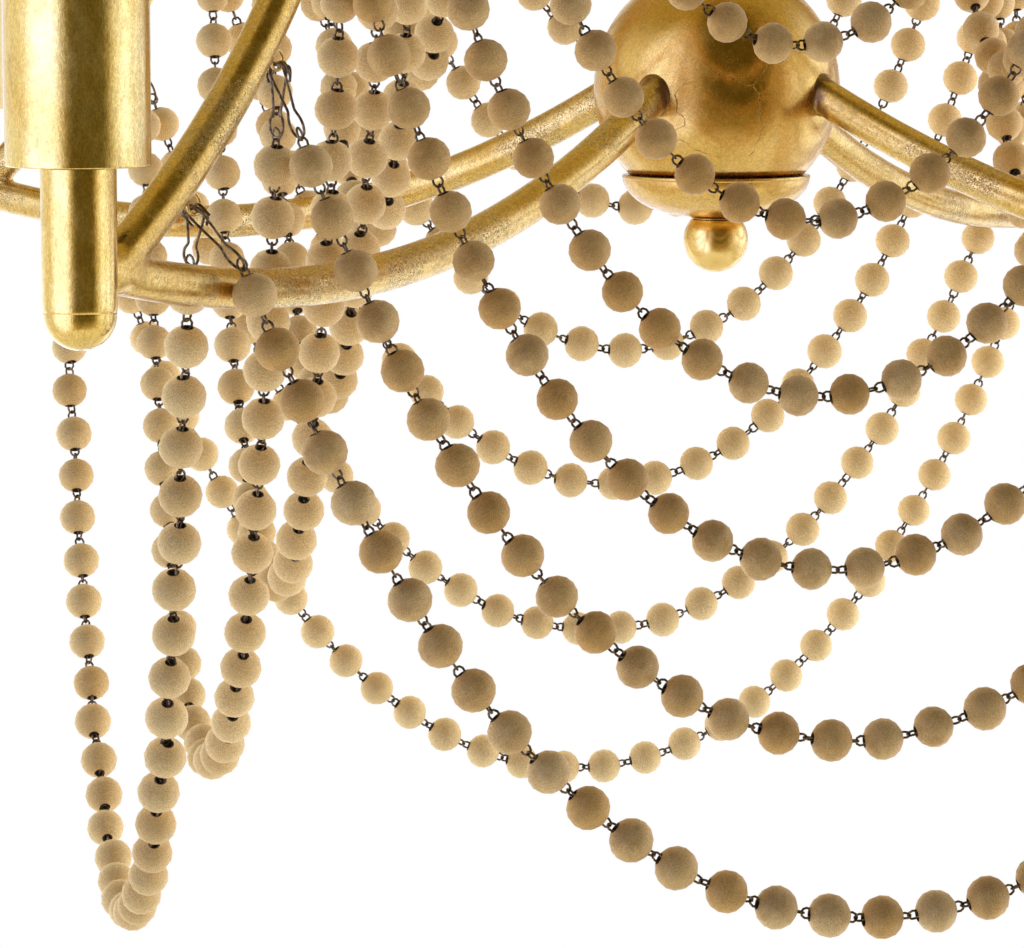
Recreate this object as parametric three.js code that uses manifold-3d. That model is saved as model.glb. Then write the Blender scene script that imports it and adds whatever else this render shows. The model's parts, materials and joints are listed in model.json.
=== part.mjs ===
// Beaded chandelier: four gilt arms round a turned hub, and six rows of wooden bead
// swags on each of its four sides. Lengths are in millimetres and +Z is up. The origin
// is the middle of the ceiling strap's upper face, and the front side faces -Y.
import * as THREE from 'three';
import Module from 'manifold-3d';

const wasm = await Module();
wasm.setup();

const fullTurn = 2 * Math.PI;
const quarterTurn = Math.PI / 2;

// Fits shared by every piece
const seatGap = 0.3; // between two pieces that touch
const linkGap = 0.5; // between two rings that hang in each other
const overrun = 2; // how far a cutter runs past what it cuts
const sunk = 1; // how deep a welded end runs into what carries it
const seatMargin = 2; // of a flat past the piece that seats on it

// Materials, with the colours of the photograph
const goldLeaf = new THREE.MeshStandardMaterial({ color: 0xc79b3b, roughness: 0.38, metalness: 1 });
const paleWood = new THREE.MeshStandardMaterial({ color: 0xc9a680, roughness: 0.7, metalness: 0 });
const clearGlass = new THREE.MeshStandardMaterial({ color: 0xf4ead2, roughness: 0.1, metalness: 0 });
const blackShell = new THREE.MeshStandardMaterial({ color: 0x26221d, roughness: 0.5, metalness: 0 });
const zincSteel = new THREE.MeshStandardMaterial({ color: 0x9a9a96, roughness: 0.45, metalness: 1 });

// Frame: heights are measured from the middle of the hub ball
const barRadius = 6.35;
const barSides = 8;
const lowerBarSteps = 9;
const upperBarSteps = 10;
const hubBallRadius = 44;
const hubSides = 16;
const hubFlatShare = 0.7; // of the ball's radius: how far below its middle the cap seats
const capLipOverhang = 2; // how far the lip stands out past the ball
const capDepth = 15.8;
const capBaseRadius = 9;
const finialRadius = 11.6;
const candleReach = 360; // from the middle of the lamp to a candle's axis
const bulletRadius = 11.05;
const bulletLength = 53.2;
const bulletSides = 10;
const bulletTipShare = 0.2; // of its length: the rounded end below the seam
const bulletTipWidthShare = 0.97; // of its radius: the rounded end beside the seam
const candleFloorDrop = 14.4; // from the hub's middle down to the candle tube's floor
const crotchDrop = 45.6; // from the hub's middle down to where an arm's two bars meet
const crotchInset = 13; // from the candle's axis in to that meeting
const topHubHeight = 430;
const topHubRadius = 24;
const topHubLean = THREE.MathUtils.degToRad(43.6); // of an upper bar from the vertical, at the top hub
const stemRadius = 6.35;
const stemWall = 1.6;

// The guide points of the two bars' curves. A pair is a share of the candle's reach, or of
// the ball's radius for the root, and a share of the height named beside it.
const lowerRootShares = [0.9, 0]; // down by the ball's radius
const lowerGuideShares = [[0.329, 0.963], [0.599, 1.581]]; // down by the crotch's drop
const upperGuideShares = [0.51, 0.1493]; // up by the top hub's height
const upperRunInShare = 0.8; // of the top hub's height: how far the bar runs in straight to that hub

// Eyelets under each upper bar, from the crotch upwards, and the swags between them
const eyeletShares = [0.0755, 0.177, 0.2807, 0.3739, 0.4708, 0.5693]; // of the upper bar's length
const eyeletRadius = 3.3; // of the ring's centre line
const eyeletWireRadius = 0.65;
const eyeletStemLength = 0;
const eyeletSides = 6;
const beadDiameter = 14;
const beadLength = 12.9;
const linkLength = 4.6; // of the two wire eyes between beads
const clipLength = 24;
const clipHalfWidth = 3; // where the clip's two legs straddle the eyelet
const clipLoopHalfWidth = 2.2; // of the wider loop over the first bead
const clipLoopShare = 0.74; // of the clip's length, down to that loop
const clipWireRadius = 0.5;
const clipLeanShare = 0.25; // of the clip's length in from its end, where the swag's line gives its lean
const clipSideStep = 1.15; // the two clips of one eyelet sit this far to either side of its middle
const rowLeans = [49, null, null, null, 64, 60]; // degrees: the first row's clips lean over the lower
// bars, and those of the last two rows hold the beads of two sides apart
const wireCoreRadius = 1.1; // of the wire eyes that join the beads
const swagBeads = {
  front: [35, 32, 30, 28, 26, 24],
  right: [38, 34, 31, 29, 27, 25],
  back: [38, 34, 31, 29, 27, 25],
  left: [38, 35, 32, 29, 27, 25],
};
const cornerNames = ['front_right', 'back_right', 'back_left', 'front_left'];

// Candles: a gilt tube with a small lamp holder and its bulb
const candleRadius = 21.1;
const candleHeight = 102;
const candleWall = 1.2;
const candleFloor = 3;
const holderRadius = 10;
const holderStemRadius = 5;
const holderStemLength = 28;
const holderLength = 58;
const holderBoreRadius = 6.4;
const holderBoreDepth = 22;
const bulbBaseRadius = 6;
const bulbRadius = 17.5;
const bulbGlassLength = 78;
const bulbNeckRadius = 8;

// Hanging gear, from the ceiling down
const strapLength = 102;
const strapWidth = 19;
const strapThickness = 2.5;
const canopyRadius = 64;
const canopyDepth = 30;
const canopyWall = 1.5;
const canopyNeckRadius = 9;
const studRadius = 4.8;
const loopRadius = 11; // of a loop's centre line
const loopWireRadius = 2.6;
const loopSides = 12;
const loopCollarRadius = 8;
const loopCollarHeight = 7;
const chainWireRadius = 2;
const chainInnerHalfWidth = 6;
const chainInnerHalfLength = 13;
const chainLinks = 3;

const centre = new THREE.Vector3();
const sharpestStretch = 1.5; // of a bent wire's section at a corner

// Adds one triangle, given by three corners, to a flat list of coordinates
function addTriangle(list, a, b, c) {
  list.push(a.x, a.y, a.z, b.x, b.y, b.z, c.x, c.y, c.z);
}

// Joins two rings that may have different numbers of corners. Both run the same way
// round, and each step goes along the ring whose next corner comes first.
function joinRings(list, lower, upper) {
  let i = 0;
  let j = 0;
  while (i < lower.length || j < upper.length) {
    const nextLower = (i + 1) / lower.length;
    const nextUpper = (j + 1) / upper.length;
    const a = lower[i % lower.length];
    const b = upper[j % upper.length];
    if (j >= upper.length || (i < lower.length && nextLower <= nextUpper)) {
      addTriangle(list, lower[(i + 1) % lower.length], a, b);
      i += 1;
    } else {
      addTriangle(list, upper[(j + 1) % upper.length], a, b);
      j += 1;
    }
  }
}

// A flat end over a ring, as a fan of triangles
function closeEnd(list, ring, facesForward) {
  for (let i = 1; i < ring.length - 1; i += 1) {
    if (facesForward) {
      addTriangle(list, ring[0], ring[i + 1], ring[i]);
    } else {
      addTriangle(list, ring[0], ring[i], ring[i + 1]);
    }
  }
}

// A closed skin over a row of rings: with flat ends, or joined end to end as a loop
function skin(rings, isLoop = false) {
  const list = [];
  for (let k = 0; k < rings.length - 1; k += 1) joinRings(list, rings[k], rings[k + 1]);
  if (isLoop) {
    joinRings(list, rings[rings.length - 1], rings[0]);
  } else {
    closeEnd(list, rings[0], false);
    closeEnd(list, rings[rings.length - 1], true);
  }
  const geometry = new THREE.BufferGeometry();
  geometry.setAttribute('position', new THREE.Float32BufferAttribute(list, 3));
  return geometry;
}

// A ring of corners round a point, in the plane of two unit vectors
function ringAt(point, across, upwards, radius, sides, turn = 0) {
  const ring = [];
  for (let i = 0; i < sides; i += 1) {
    const angle = turn + (i / sides) * fullTurn;
    const corner = point.clone();
    corner.addScaledVector(across, radius * Math.cos(angle));
    corner.addScaledVector(upwards, radius * Math.sin(angle));
    ring.push(corner);
  }
  return ring;
}

// The rings of a round bar along a curve that lies in a plane with the given normal
function barRings(curve, normal, radius, steps, sides) {
  const rings = [];
  for (let k = 0; k <= steps; k += 1) {
    const across = new THREE.Vector3().crossVectors(curve.getTangentAt(k / steps), normal);
    rings.push(ringAt(curve.getPointAt(k / steps), normal, across.negate(), radius, sides));
  }
  return rings;
}

// A ring moved straight along a direction
function movedRing(ring, direction, distance) {
  return ring.map((corner) => corner.clone().addScaledVector(direction, distance));
}

// A wire bent through the corners of a flat closed figure, with the corners thickened
function wireFigure(corners, normal, radius, sides) {
  const rings = corners.map((corner, i) => {
    const before = corners[(i + corners.length - 1) % corners.length];
    const after = corners[(i + 1) % corners.length];
    const incoming = corner.clone().sub(before).normalize();
    const outgoing = after.clone().sub(corner).normalize();
    const along = incoming.clone().add(outgoing).normalize();
    const outwards = new THREE.Vector3().crossVectors(along, normal);
    const stretch = Math.min(1 / along.dot(outgoing), sharpestStretch);
    const ring = ringAt(centre, normal, outwards.negate(), radius, sides, quarterTurn);
    return ring.map((offset) => {
      const inPlane = outwards.clone().multiplyScalar(offset.dot(outwards) * (stretch - 1));
      return corner.clone().add(offset).add(inPlane);
    });
  });
  return skin(rings, true);
}

// A turned piece: its outline is a list of [radius, height] from the axis round to the axis
function turned(outline, sides) {
  const points = outline.map(([radius, height]) => new THREE.Vector2(radius, height));
  return new THREE.LatheGeometry(points, sides).rotateX(quarterTurn);
}

// The points of an arc on a turned outline, from one angle to another above the horizontal
function arcOutline(radius, middleHeight, from, to, steps) {
  const points = [];
  for (let i = 0; i <= steps; i += 1) {
    const angle = from + ((to - from) * i) / steps;
    points.push([radius * Math.cos(angle), middleHeight + radius * Math.sin(angle)]);
  }
  return points;
}

// The solid of a geometry, for joining and cutting
function solidOf(geometry) {
  const source = geometry.index ? geometry.toNonIndexed() : geometry;
  const position = source.getAttribute('position');
  const places = new Map();
  const coordinates = [];
  const corners = [];
  for (let i = 0; i < position.count; i += 1) {
    const point = [position.getX(i), position.getY(i), position.getZ(i)];
    const key = point.map((value) => Math.round(value * 1e4)).join();
    if (!places.has(key)) {
      places.set(key, places.size);
      coordinates.push(...point);
    }
    corners.push(places.get(key));
  }
  const triangles = [];
  for (let i = 0; i < corners.length; i += 3) {
    const [a, b, c] = corners.slice(i, i + 3);
    if (a !== b && b !== c && c !== a) triangles.push(a, b, c);
  }
  const mesh = new wasm.Mesh({
    numProp: 3,
    vertProperties: new Float32Array(coordinates),
    triVerts: new Uint32Array(triangles),
  });
  return new wasm.Manifold(mesh);
}

// The geometry of a solid
function geometryOf(solid) {
  const mesh = solid.getMesh();
  const geometry = new THREE.BufferGeometry();
  geometry.setAttribute('position', new THREE.BufferAttribute(new Float32Array(mesh.vertProperties), 3));
  geometry.setIndex(new THREE.BufferAttribute(new Uint32Array(mesh.triVerts), 1));
  return geometry;
}

// Several geometries as one body
function joined(geometries) {
  const solids = geometries.map(solidOf);
  return solids.reduce((whole, next) => whole.add(next));
}

function namedMesh(name, geometry, material) {
  const mesh = new THREE.Mesh(geometry, material);
  mesh.name = name;
  return mesh;
}

// The lower bar: down from the hub, out along a shallow bow, and up to the crotch
const crotch = new THREE.Vector3(candleReach - crotchInset, 0, -crotchDrop);
const [lowerRootShare, lowerRootDropShare] = lowerRootShares;
const lowerRoot = new THREE.Vector3(hubBallRadius * lowerRootShare, 0, -hubBallRadius * lowerRootDropShare);
const [lowerGuide, outerGuide] = lowerGuideShares.map(
  ([acrossShare, dropShare]) => new THREE.Vector3(candleReach * acrossShare, 0, -crotchDrop * dropShare),
);
const lowerBarCurve = new THREE.CubicBezierCurve3(lowerRoot, lowerGuide, outerGuide, crotch);

// The upper bar: from the crotch inwards and up, steeper as it rises, and into the top
// hub on a line through that hub's middle
const topHubMiddle = new THREE.Vector3(0, 0, topHubHeight);
const topHubApproach = new THREE.Vector3(Math.sin(topHubLean), 0, -Math.cos(topHubLean));
const [upperAcrossShare, upperRiseShare] = upperGuideShares;
const upperBarCurve = new THREE.CubicBezierCurve3(
  crotch,
  new THREE.Vector3(candleReach * upperAcrossShare, 0, topHubHeight * upperRiseShare),
  topHubMiddle.clone().addScaledVector(topHubApproach, topHubHeight * upperRunInShare),
  topHubMiddle.clone().addScaledVector(topHubApproach, topHubRadius + seatGap),
);

const armNormal = new THREE.Vector3(0, 1, 0); // of the upright plane that holds an arm

// The middle of an eyelet's ring, under the upper bar, in the arm's plane
function eyeletMiddle(share) {
  const along = upperBarCurve.getTangentAt(share);
  const under = new THREE.Vector3().crossVectors(along, armNormal);
  const drop = barRadius + eyeletStemLength + eyeletRadius + eyeletWireRadius;
  return upperBarCurve.getPointAt(share).addScaledVector(under, drop);
}

// An eyelet: a ring in the arm's plane on a short stem that is welded to the bar
function eyelet(share) {
  const middle = eyeletMiddle(share);
  const corners = [];
  for (let i = 0; i < eyeletSides; i += 1) {
    const angle = (i / eyeletSides) * fullTurn;
    const corner = new THREE.Vector3(Math.cos(angle), 0, Math.sin(angle));
    corners.push(middle.clone().addScaledVector(corner, eyeletRadius));
  }
  const ring = wireFigure(corners, armNormal, eyeletWireRadius, 3);
  const along = upperBarCurve.getTangentAt(share);
  const towardsBar = new THREE.Vector3().crossVectors(armNormal, along);
  const foot = middle.clone().addScaledVector(towardsBar, eyeletRadius);
  const root = upperBarCurve.getPointAt(share).addScaledVector(towardsBar, -barRadius / 2);
  const rings = [foot, root].map((point) => ringAt(point, along, armNormal, eyeletWireRadius, 3));
  return [ring, skin(rings)];
}

// The bullet's side with the seat's gap, as a cutter for the bars that meet it
function bulletCutter() {
  const reach = bulletRadius + seatGap / Math.cos(fullTurn / bulletSides / 2);
  const cylinder = new THREE.CylinderGeometry(reach, reach, bulletLength * 2, bulletSides);
  cylinder.rotateX(quarterTurn).translate(candleReach, 0, -candleFloorDrop - bulletLength / 2);
  return solidOf(cylinder);
}

// The space beside the hub ball that the bars keep out of, as a block
function hubCutter() {
  const size = hubBallRadius + seatGap;
  return solidOf(new THREE.BoxGeometry(size * 2, size * 2, size * 2));
}

const bulletCut = bulletCutter();

// The rings of the lower bar at a given radius, run on past the crotch
function lowerBarRings(radius) {
  const rings = barRings(lowerBarCurve, armNormal, radius, lowerBarSteps, barSides);
  const onwards = lowerBarCurve.getTangentAt(1);
  rings.push(movedRing(rings[lowerBarSteps], onwards, crotchInset - bulletRadius + overrun));
  return rings;
}

// The lower bar: cut square beside the hub ball, and to the bullet's side where it is welded
function lowerArm() {
  const bar = solidOf(skin(lowerBarRings(barRadius)));
  return geometryOf(bar.subtract(hubCutter()).subtract(bulletCut));
}

// The upper bar is mitred onto the lower one and carries the eyelets
function upperArm() {
  const bar = solidOf(skin(barRings(upperBarCurve, armNormal, barRadius, upperBarSteps, barSides)));
  const grownRadius = barRadius + seatGap / Math.cos(fullTurn / barSides / 2);
  const mitre = solidOf(skin(lowerBarRings(grownRadius).slice(-4)));
  const shaped = bar.subtract(mitre).subtract(bulletCut);
  const longest = shaped.decompose().sort((a, b) => b.volume() - a.volume())[0];
  const rings = joined(eyeletShares.flatMap(eyelet));
  return geometryOf(longest.add(rings));
}

// The hub: a ball cut flat below, where the cap seats
const hubFlatHeight = -hubBallRadius * hubFlatShare;
const hubFlatRadius = Math.sqrt(hubBallRadius ** 2 - hubFlatHeight ** 2);
function hubBall() {
  const seatAngle = -Math.acos(hubFlatRadius / hubBallRadius);
  const arc = arcOutline(hubBallRadius, 0, seatAngle, quarterTurn, 8);
  arc[arc.length - 1][0] = 0;
  return turned([[0, hubFlatHeight], ...arc], hubSides);
}

// The cap's lip and the heights of its two ends, from the ball's flat
const capLipRadius = hubFlatRadius + seatGap + capLipOverhang;
const capTopHeight = hubFlatHeight - seatGap;
const capBaseHeight = capTopHeight - capDepth;

// The cap: a shallow bowl whose sharp lip stands out past the ball
function bottomCap() {
  const outline = [[0, capBaseHeight], [capBaseRadius, capBaseHeight]];
  const steps = 3;
  for (let i = 1; i <= steps; i += 1) {
    const rise = (i / steps) * quarterTurn;
    const radius = capBaseRadius + (capLipRadius - capBaseRadius) * Math.sin(rise);
    const height = capTopHeight - (capDepth - sunk) * Math.cos(rise);
    outline.push([radius, Math.min(height, capTopHeight - sunk)]);
  }
  outline.push([capLipRadius, capTopHeight], [0, capTopHeight]);
  return turned(outline, hubSides);
}

// The finial: a ball cut flat where it screws up against the cap
function finial() {
  const seatAngle = Math.acos(capBaseRadius / finialRadius);
  const middle = capBaseHeight - seatGap - finialRadius * Math.sin(seatAngle);
  const arc = arcOutline(finialRadius, middle, -quarterTurn, seatAngle, 6);
  arc[0][0] = 0;
  return turned([...arc, [0, capBaseHeight - seatGap]], 10);
}

// The stem: the tube between the two hubs that carries the wires
function centreStem() {
  const bore = stemRadius - stemWall;
  const low = Math.sqrt(hubBallRadius ** 2 - bore ** 2) + seatGap;
  const high = topHubHeight - Math.sqrt(topHubRadius ** 2 - bore ** 2) - seatGap;
  const outline = [[bore, low], [stemRadius, low], [stemRadius, high], [bore, high], [bore, low]];
  return turned(outline, 8);
}

// The top hub: a ball with a flat above for the loop's collar
const topHubFlatRadius = loopCollarRadius + seatMargin;
const topHubFlatHeight = topHubHeight + Math.sqrt(topHubRadius ** 2 - topHubFlatRadius ** 2);
function topHub() {
  const flatAngle = Math.acos(topHubFlatRadius / topHubRadius);
  const arc = arcOutline(topHubRadius, topHubHeight, -quarterTurn, flatAngle, 6);
  arc[0][0] = 0;
  return turned([...arc, [0, topHubFlatHeight]], 14);
}

// A loop: a wire ring in the plane across the given normal, on a short turned collar.
// The collar's far end is at the given height and its ring lies on the other side.
function loopOnCollar(footHeight, direction, normal, studLength) {
  const ringMiddle = loopMiddle(footHeight, direction);
  const corners = [];
  const side = new THREE.Vector3(0, 0, 1).cross(normal);
  for (let i = 0; i < loopSides; i += 1) {
    const angle = (i / loopSides) * fullTurn;
    const corner = new THREE.Vector3(0, 0, ringMiddle);
    corner.addScaledVector(side, loopRadius * Math.cos(angle));
    corner.z += loopRadius * Math.sin(angle);
    corners.push(corner);
  }
  const ring = wireFigure(corners, normal, loopWireRadius, 5);
  const low = Math.min(footHeight, footHeight + direction * loopCollarHeight);
  const high = low + loopCollarHeight;
  const collar = turned([[0, low], [loopCollarRadius, low], [loopCollarRadius, high], [0, high]], 10);
  const pieces = [ring, collar];
  if (studLength > 0) {
    const studLow = Math.min(footHeight - direction * studLength, footHeight + direction * sunk);
    const studHigh = studLow + studLength + sunk;
    pieces.push(turned([[0, studLow], [studRadius, studLow], [studRadius, studHigh], [0, studHigh]], 8));
  }
  return geometryOf(joined(pieces));
}

// The height of a loop's middle, from its collar's far end
function loopMiddle(footHeight, direction) {
  return footHeight + direction * (loopCollarHeight + loopRadius + loopWireRadius - sunk);
}

// A chain link: an oval of wire, upright, in the plane across the given normal
function chainLink(middleHeight, normal) {
  const corners = [];
  const side = new THREE.Vector3(0, 0, 1).cross(normal);
  const bend = chainInnerHalfWidth + chainWireRadius;
  const straight = chainInnerHalfLength - chainInnerHalfWidth;
  const halfSteps = 4;
  for (const end of [1, -1]) {
    for (let i = 0; i <= halfSteps; i += 1) {
      const angle = (i / halfSteps) * Math.PI + (end > 0 ? 0 : Math.PI);
      const corner = new THREE.Vector3(0, 0, middleHeight + end * straight);
      corner.addScaledVector(side, bend * Math.cos(angle));
      corner.z += bend * Math.sin(angle);
      corners.push(corner);
    }
  }
  return wireFigure(corners, normal, chainWireRadius, 5);
}

// The bullet: the turned body under a candle, with a rounded end below a fine seam
const bulletTopHeight = -candleFloorDrop - seatGap;
const bulletLowHeight = bulletTopHeight - bulletLength;
function bullet() {
  const tip = bulletLength * bulletTipShare;
  const tipRadius = bulletRadius * bulletTipWidthShare;
  const outline = [];
  const steps = 4;
  for (let i = 0; i <= steps; i += 1) {
    const rise = (i / steps) * quarterTurn;
    outline.push([tipRadius * Math.sin(rise), bulletLowHeight + tip * (1 - Math.cos(rise))]);
  }
  outline[0][0] = 0;
  const shoulder = bulletRadius / 5;
  outline.push([bulletRadius, bulletLowHeight + tip + shoulder], [bulletRadius, bulletTopHeight - shoulder]);
  outline.push([bulletRadius - shoulder / 2, bulletTopHeight], [0, bulletTopHeight]);
  return turned(outline, bulletSides).translate(candleReach, 0, 0);
}

// The candle tube: open above, with a solid floor that the lamp holder stands on
const candleLowHeight = -candleFloorDrop;
const candleFloorTop = candleLowHeight + candleFloor;
function candleTube() {
  const inner = candleRadius - candleWall;
  const high = candleLowHeight + candleHeight;
  const outline = [[0, candleLowHeight], [candleRadius, candleLowHeight], [candleRadius, high]];
  outline.push([inner, high], [inner, candleFloorTop], [0, candleFloorTop]);
  return turned(outline, 16).translate(candleReach, 0, 0);
}

// The lamp holder: a threaded stem, then the shell with the bore for the bulb's base
const holderLowHeight = candleFloorTop + seatGap;
const holderTopHeight = holderLowHeight + holderStemLength + holderLength;
const holderBoreFloor = holderTopHeight - holderBoreDepth;
function lampHolder() {
  const bodyLow = holderLowHeight + holderStemLength;
  const outline = [[0, holderLowHeight], [holderStemRadius, holderLowHeight], [holderStemRadius, bodyLow]];
  outline.push([holderRadius, bodyLow], [holderRadius, holderTopHeight]);
  outline.push([holderBoreRadius, holderTopHeight], [holderBoreRadius, holderBoreFloor], [0, holderBoreFloor]);
  return turned(outline, 8).translate(candleReach, 0, 0);
}

// The bulb: a narrow base in the holder's bore and a flame-shaped glass above
function bulb() {
  const low = holderBoreFloor + seatGap;
  const neck = holderTopHeight + seatGap;
  const outline = [[0, low], [bulbBaseRadius, low], [bulbBaseRadius, neck], [bulbNeckRadius, neck]];
  const glassShares = [[0.8, 0.14], [1, 0.32], [0.86, 0.54], [0.42, 0.82]];
  for (const [across, along] of glassShares) {
    outline.push([bulbRadius * across, neck + bulbGlassLength * along]);
  }
  outline.push([0, neck + bulbGlassLength]);
  return turned(outline, 8).translate(candleReach, 0, 0);
}

// The sag parameter of a chain of the given length that hangs between two points
// the given half span from its middle, found by halving
function chainParameter(halfSpan, length) {
  let low = halfSpan / 12;
  let high = halfSpan * 20;
  for (let i = 0; i < 60; i += 1) {
    const middle = (low + high) / 2;
    if (2 * middle * Math.sinh(halfSpan / middle) > length) {
      low = middle;
    } else {
      high = middle;
    }
  }
  return (low + high) / 2;
}

// A hanging chain in the XZ plane, from its length along it: its place and direction
function hangingChain(halfSpan, length) {
  const a = chainParameter(halfSpan, length);
  const low = -a * (Math.cosh(halfSpan / a) - 1);
  return (along) => {
    const x = a * Math.asinh((along - length / 2) / a);
    const place = new THREE.Vector3(x, 0, low + a * (Math.cosh(x / a) - 1));
    return { place, direction: new THREE.Vector3(1, 0, Math.sinh(x / a)).normalize() };
  };
}

// How steeply a swag leaves its eyelet, as an angle below the horizontal
function restingLean(halfSpan, length) {
  const a = chainParameter(halfSpan, length);
  return Math.atan(Math.sinh((halfSpan - clipLength * clipLeanShare) / a));
}

// A wire clip at one end of a swag: a narrow top that lies in the eyelet and straddles
// it, and a wider loop that holds the first bead's eye
function clip(end, halfSpan, lean) {
  const top = new THREE.Vector3(end * halfSpan, 0, 0);
  const down = new THREE.Vector3(-end * Math.cos(lean), 0, -Math.sin(lean));
  const across = new THREE.Vector3(-end, -1, 0).normalize();
  const normal = new THREE.Vector3().crossVectors(across, down).normalize();
  const corner = (side, along) => {
    const point = top.clone().addScaledVector(across, side);
    return point.addScaledVector(down, along);
  };
  const loopAt = clipLength * clipLoopShare;
  const corners = [corner(-clipHalfWidth, 0), corner(clipHalfWidth, 0)];
  corners.push(corner(clipLoopHalfWidth, loopAt), corner(0, clipLength), corner(-clipLoopHalfWidth, loopAt));
  return wireFigure(corners, normal, clipWireRadius, 3);
}

// A swag: turned beads on wire eyes along a hanging chain, between two straight clips.
// Each bead has a belly ring of four corners, turned by an eighth on every second bead.
function swag(halfSpan, beads, rowLean) {
  const pitch = beadLength + linkLength;
  const length = beads * pitch;
  const resting = restingLean(halfSpan, length + 2 * clipLength);
  const lean = rowLean ? THREE.MathUtils.degToRad(rowLean) : resting;
  const chain = hangingChain(halfSpan - clipLength * Math.cos(lean), length);
  const drop = clipLength * Math.sin(lean);
  const plane = new THREE.Vector3(0, 1, 0);
  const ringOn = (along, radius, sides, turn) => {
    const { place, direction } = chain(along);
    place.z -= drop;
    const upwards = new THREE.Vector3().crossVectors(direction, plane);
    return ringAt(place, plane, upwards.negate(), radius, sides, turn);
  };
  const rings = [ringOn(-linkLength / 2, wireCoreRadius, 3, 0)];
  for (let i = 0; i < beads; i += 1) {
    const middle = i * pitch + pitch / 2;
    const overhang = i === beads - 1 ? linkLength / 2 : 0;
    rings.push(ringOn(middle, beadDiameter / 2, 4, ((i % 2) * fullTurn) / 8));
    rings.push(ringOn(middle + pitch / 2 + overhang, wireCoreRadius, 3, 0));
  }
  return geometryOf(joined([skin(rings), clip(-1, halfSpan, lean), clip(1, halfSpan, lean)]));
}

// Heights of the hanging gear, from the ceiling down
const strapLow = -strapThickness;
const canopyLow = -canopyDepth;
const canopyLoopFoot = canopyLow - seatGap;
const canopyLoopMiddle = loopMiddle(canopyLoopFoot, -1);
const canopyLoopBottom = canopyLoopMiddle - loopRadius;
const linkPitch = 2 * chainInnerHalfLength - linkGap;
const firstLinkTop = canopyLoopBottom + loopWireRadius + linkGap + chainWireRadius;
const firstLinkMiddle = firstLinkTop - chainInnerHalfLength - chainWireRadius;
const lastLinkMiddle = firstLinkMiddle - (chainLinks - 1) * linkPitch;
const frameLoopTop = lastLinkMiddle - chainInnerHalfLength + linkGap + loopWireRadius;
const frameLoopMiddle = frameLoopTop - loopRadius;
const frameLoopFoot = topHubFlatHeight + seatGap;
const hubMiddleHeight = frameLoopMiddle - loopMiddle(frameLoopFoot, 1);

// The strap that is screwed to the ceiling box
function ceilingStrap() {
  const bar = new THREE.BoxGeometry(strapLength, strapWidth, strapThickness);
  return bar.translate(0, 0, strapLow / 2);
}

// The canopy: a thin dome, open to the ceiling, with a hole for the loop's stud
function canopy() {
  const outer = [];
  const inner = [];
  const steps = 4;
  for (let i = 0; i <= steps; i += 1) {
    const turn = (i / steps) * quarterTurn;
    const spread = canopyRadius - canopyNeckRadius;
    outer.push([canopyNeckRadius + spread * Math.sin(turn), canopyLow * Math.cos(turn)]);
    const innerSpread = spread - canopyWall;
    const innerLow = canopyLow + canopyWall;
    inner.unshift([canopyNeckRadius + innerSpread * Math.sin(turn), innerLow * Math.cos(turn)]);
  }
  outer[steps][1] = 0;
  inner[0][1] = 0;
  const hole = studRadius + seatGap;
  const outline = [[hole, canopyLow], ...outer, ...inner, [hole, canopyLow + canopyWall], [hole, canopyLow]];
  return turned(outline, 16);
}

// The loop under the canopy, with its stud up to the strap
function canopyLoop() {
  const studLength = strapLow - seatGap - canopyLoopFoot;
  return loopOnCollar(canopyLoopFoot, -1, new THREE.Vector3(0, 1, 0), studLength);
}

// One arm with its candle, turned to its corner
function addArm(group, name, index) {
  const arm = new THREE.Group();
  arm.rotation.z = index * quarterTurn - quarterTurn / 2;
  arm.add(namedMesh('lower_arm_' + name, lowerArm(), goldLeaf));
  arm.add(namedMesh('upper_arm_' + name, upperArm(), goldLeaf));
  arm.add(namedMesh('bullet_' + name, bullet(), goldLeaf));
  arm.add(namedMesh('candle_tube_' + name, candleTube(), goldLeaf));
  arm.add(namedMesh('lamp_holder_' + name, lampHolder(), blackShell));
  arm.add(namedMesh('bulb_' + name, bulb(), clearGlass));
  group.add(arm);
}

// The clips rest in the eyelets, so a swag's ends follow from the eyelets' places
const clipRestDrop = eyeletRadius * Math.cos(fullTurn / eyeletSides / 2) - eyeletWireRadius / 2
  - clipWireRadius - seatGap;

// The six swags of one side. Those of two facing sides hang a little further out, so
// that the two clips of an eyelet lie side by side.
function addSide(group, name, index) {
  const side = new THREE.Group();
  side.rotation.z = index * quarterTurn;
  const step = (index % 2 === 0 ? clipSideStep : -clipSideStep) / Math.SQRT2;
  swagBeads[name].forEach((beads, row) => {
    const middle = eyeletMiddle(eyeletShares[row]);
    const distance = middle.x / Math.SQRT2 + step;
    const mesh = namedMesh('swag_' + name + '_' + (row + 1), swag(distance, beads, rowLeans[row]), paleWood);
    mesh.position.set(0, -distance, middle.z - clipRestDrop);
    side.add(mesh);
  });
  group.add(side);
}

// Everything below the chain, about the hub's middle
function chandelierBody() {
  const body = new THREE.Group();
  body.add(namedMesh('hub_ball', hubBall(), goldLeaf));
  body.add(namedMesh('bottom_cap', bottomCap(), goldLeaf));
  body.add(namedMesh('finial', finial(), goldLeaf));
  body.add(namedMesh('centre_stem', centreStem(), goldLeaf));
  body.add(namedMesh('top_hub', topHub(), goldLeaf));
  const loop = loopOnCollar(frameLoopFoot, 1, new THREE.Vector3(0, 1, 0), 0);
  body.add(namedMesh('hanging_loop', loop, goldLeaf));
  cornerNames.forEach((name, index) => addArm(body, name, index));
  Object.keys(swagBeads).forEach((name, index) => addSide(body, name, index));
  body.position.z = hubMiddleHeight;
  return body;
}

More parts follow.
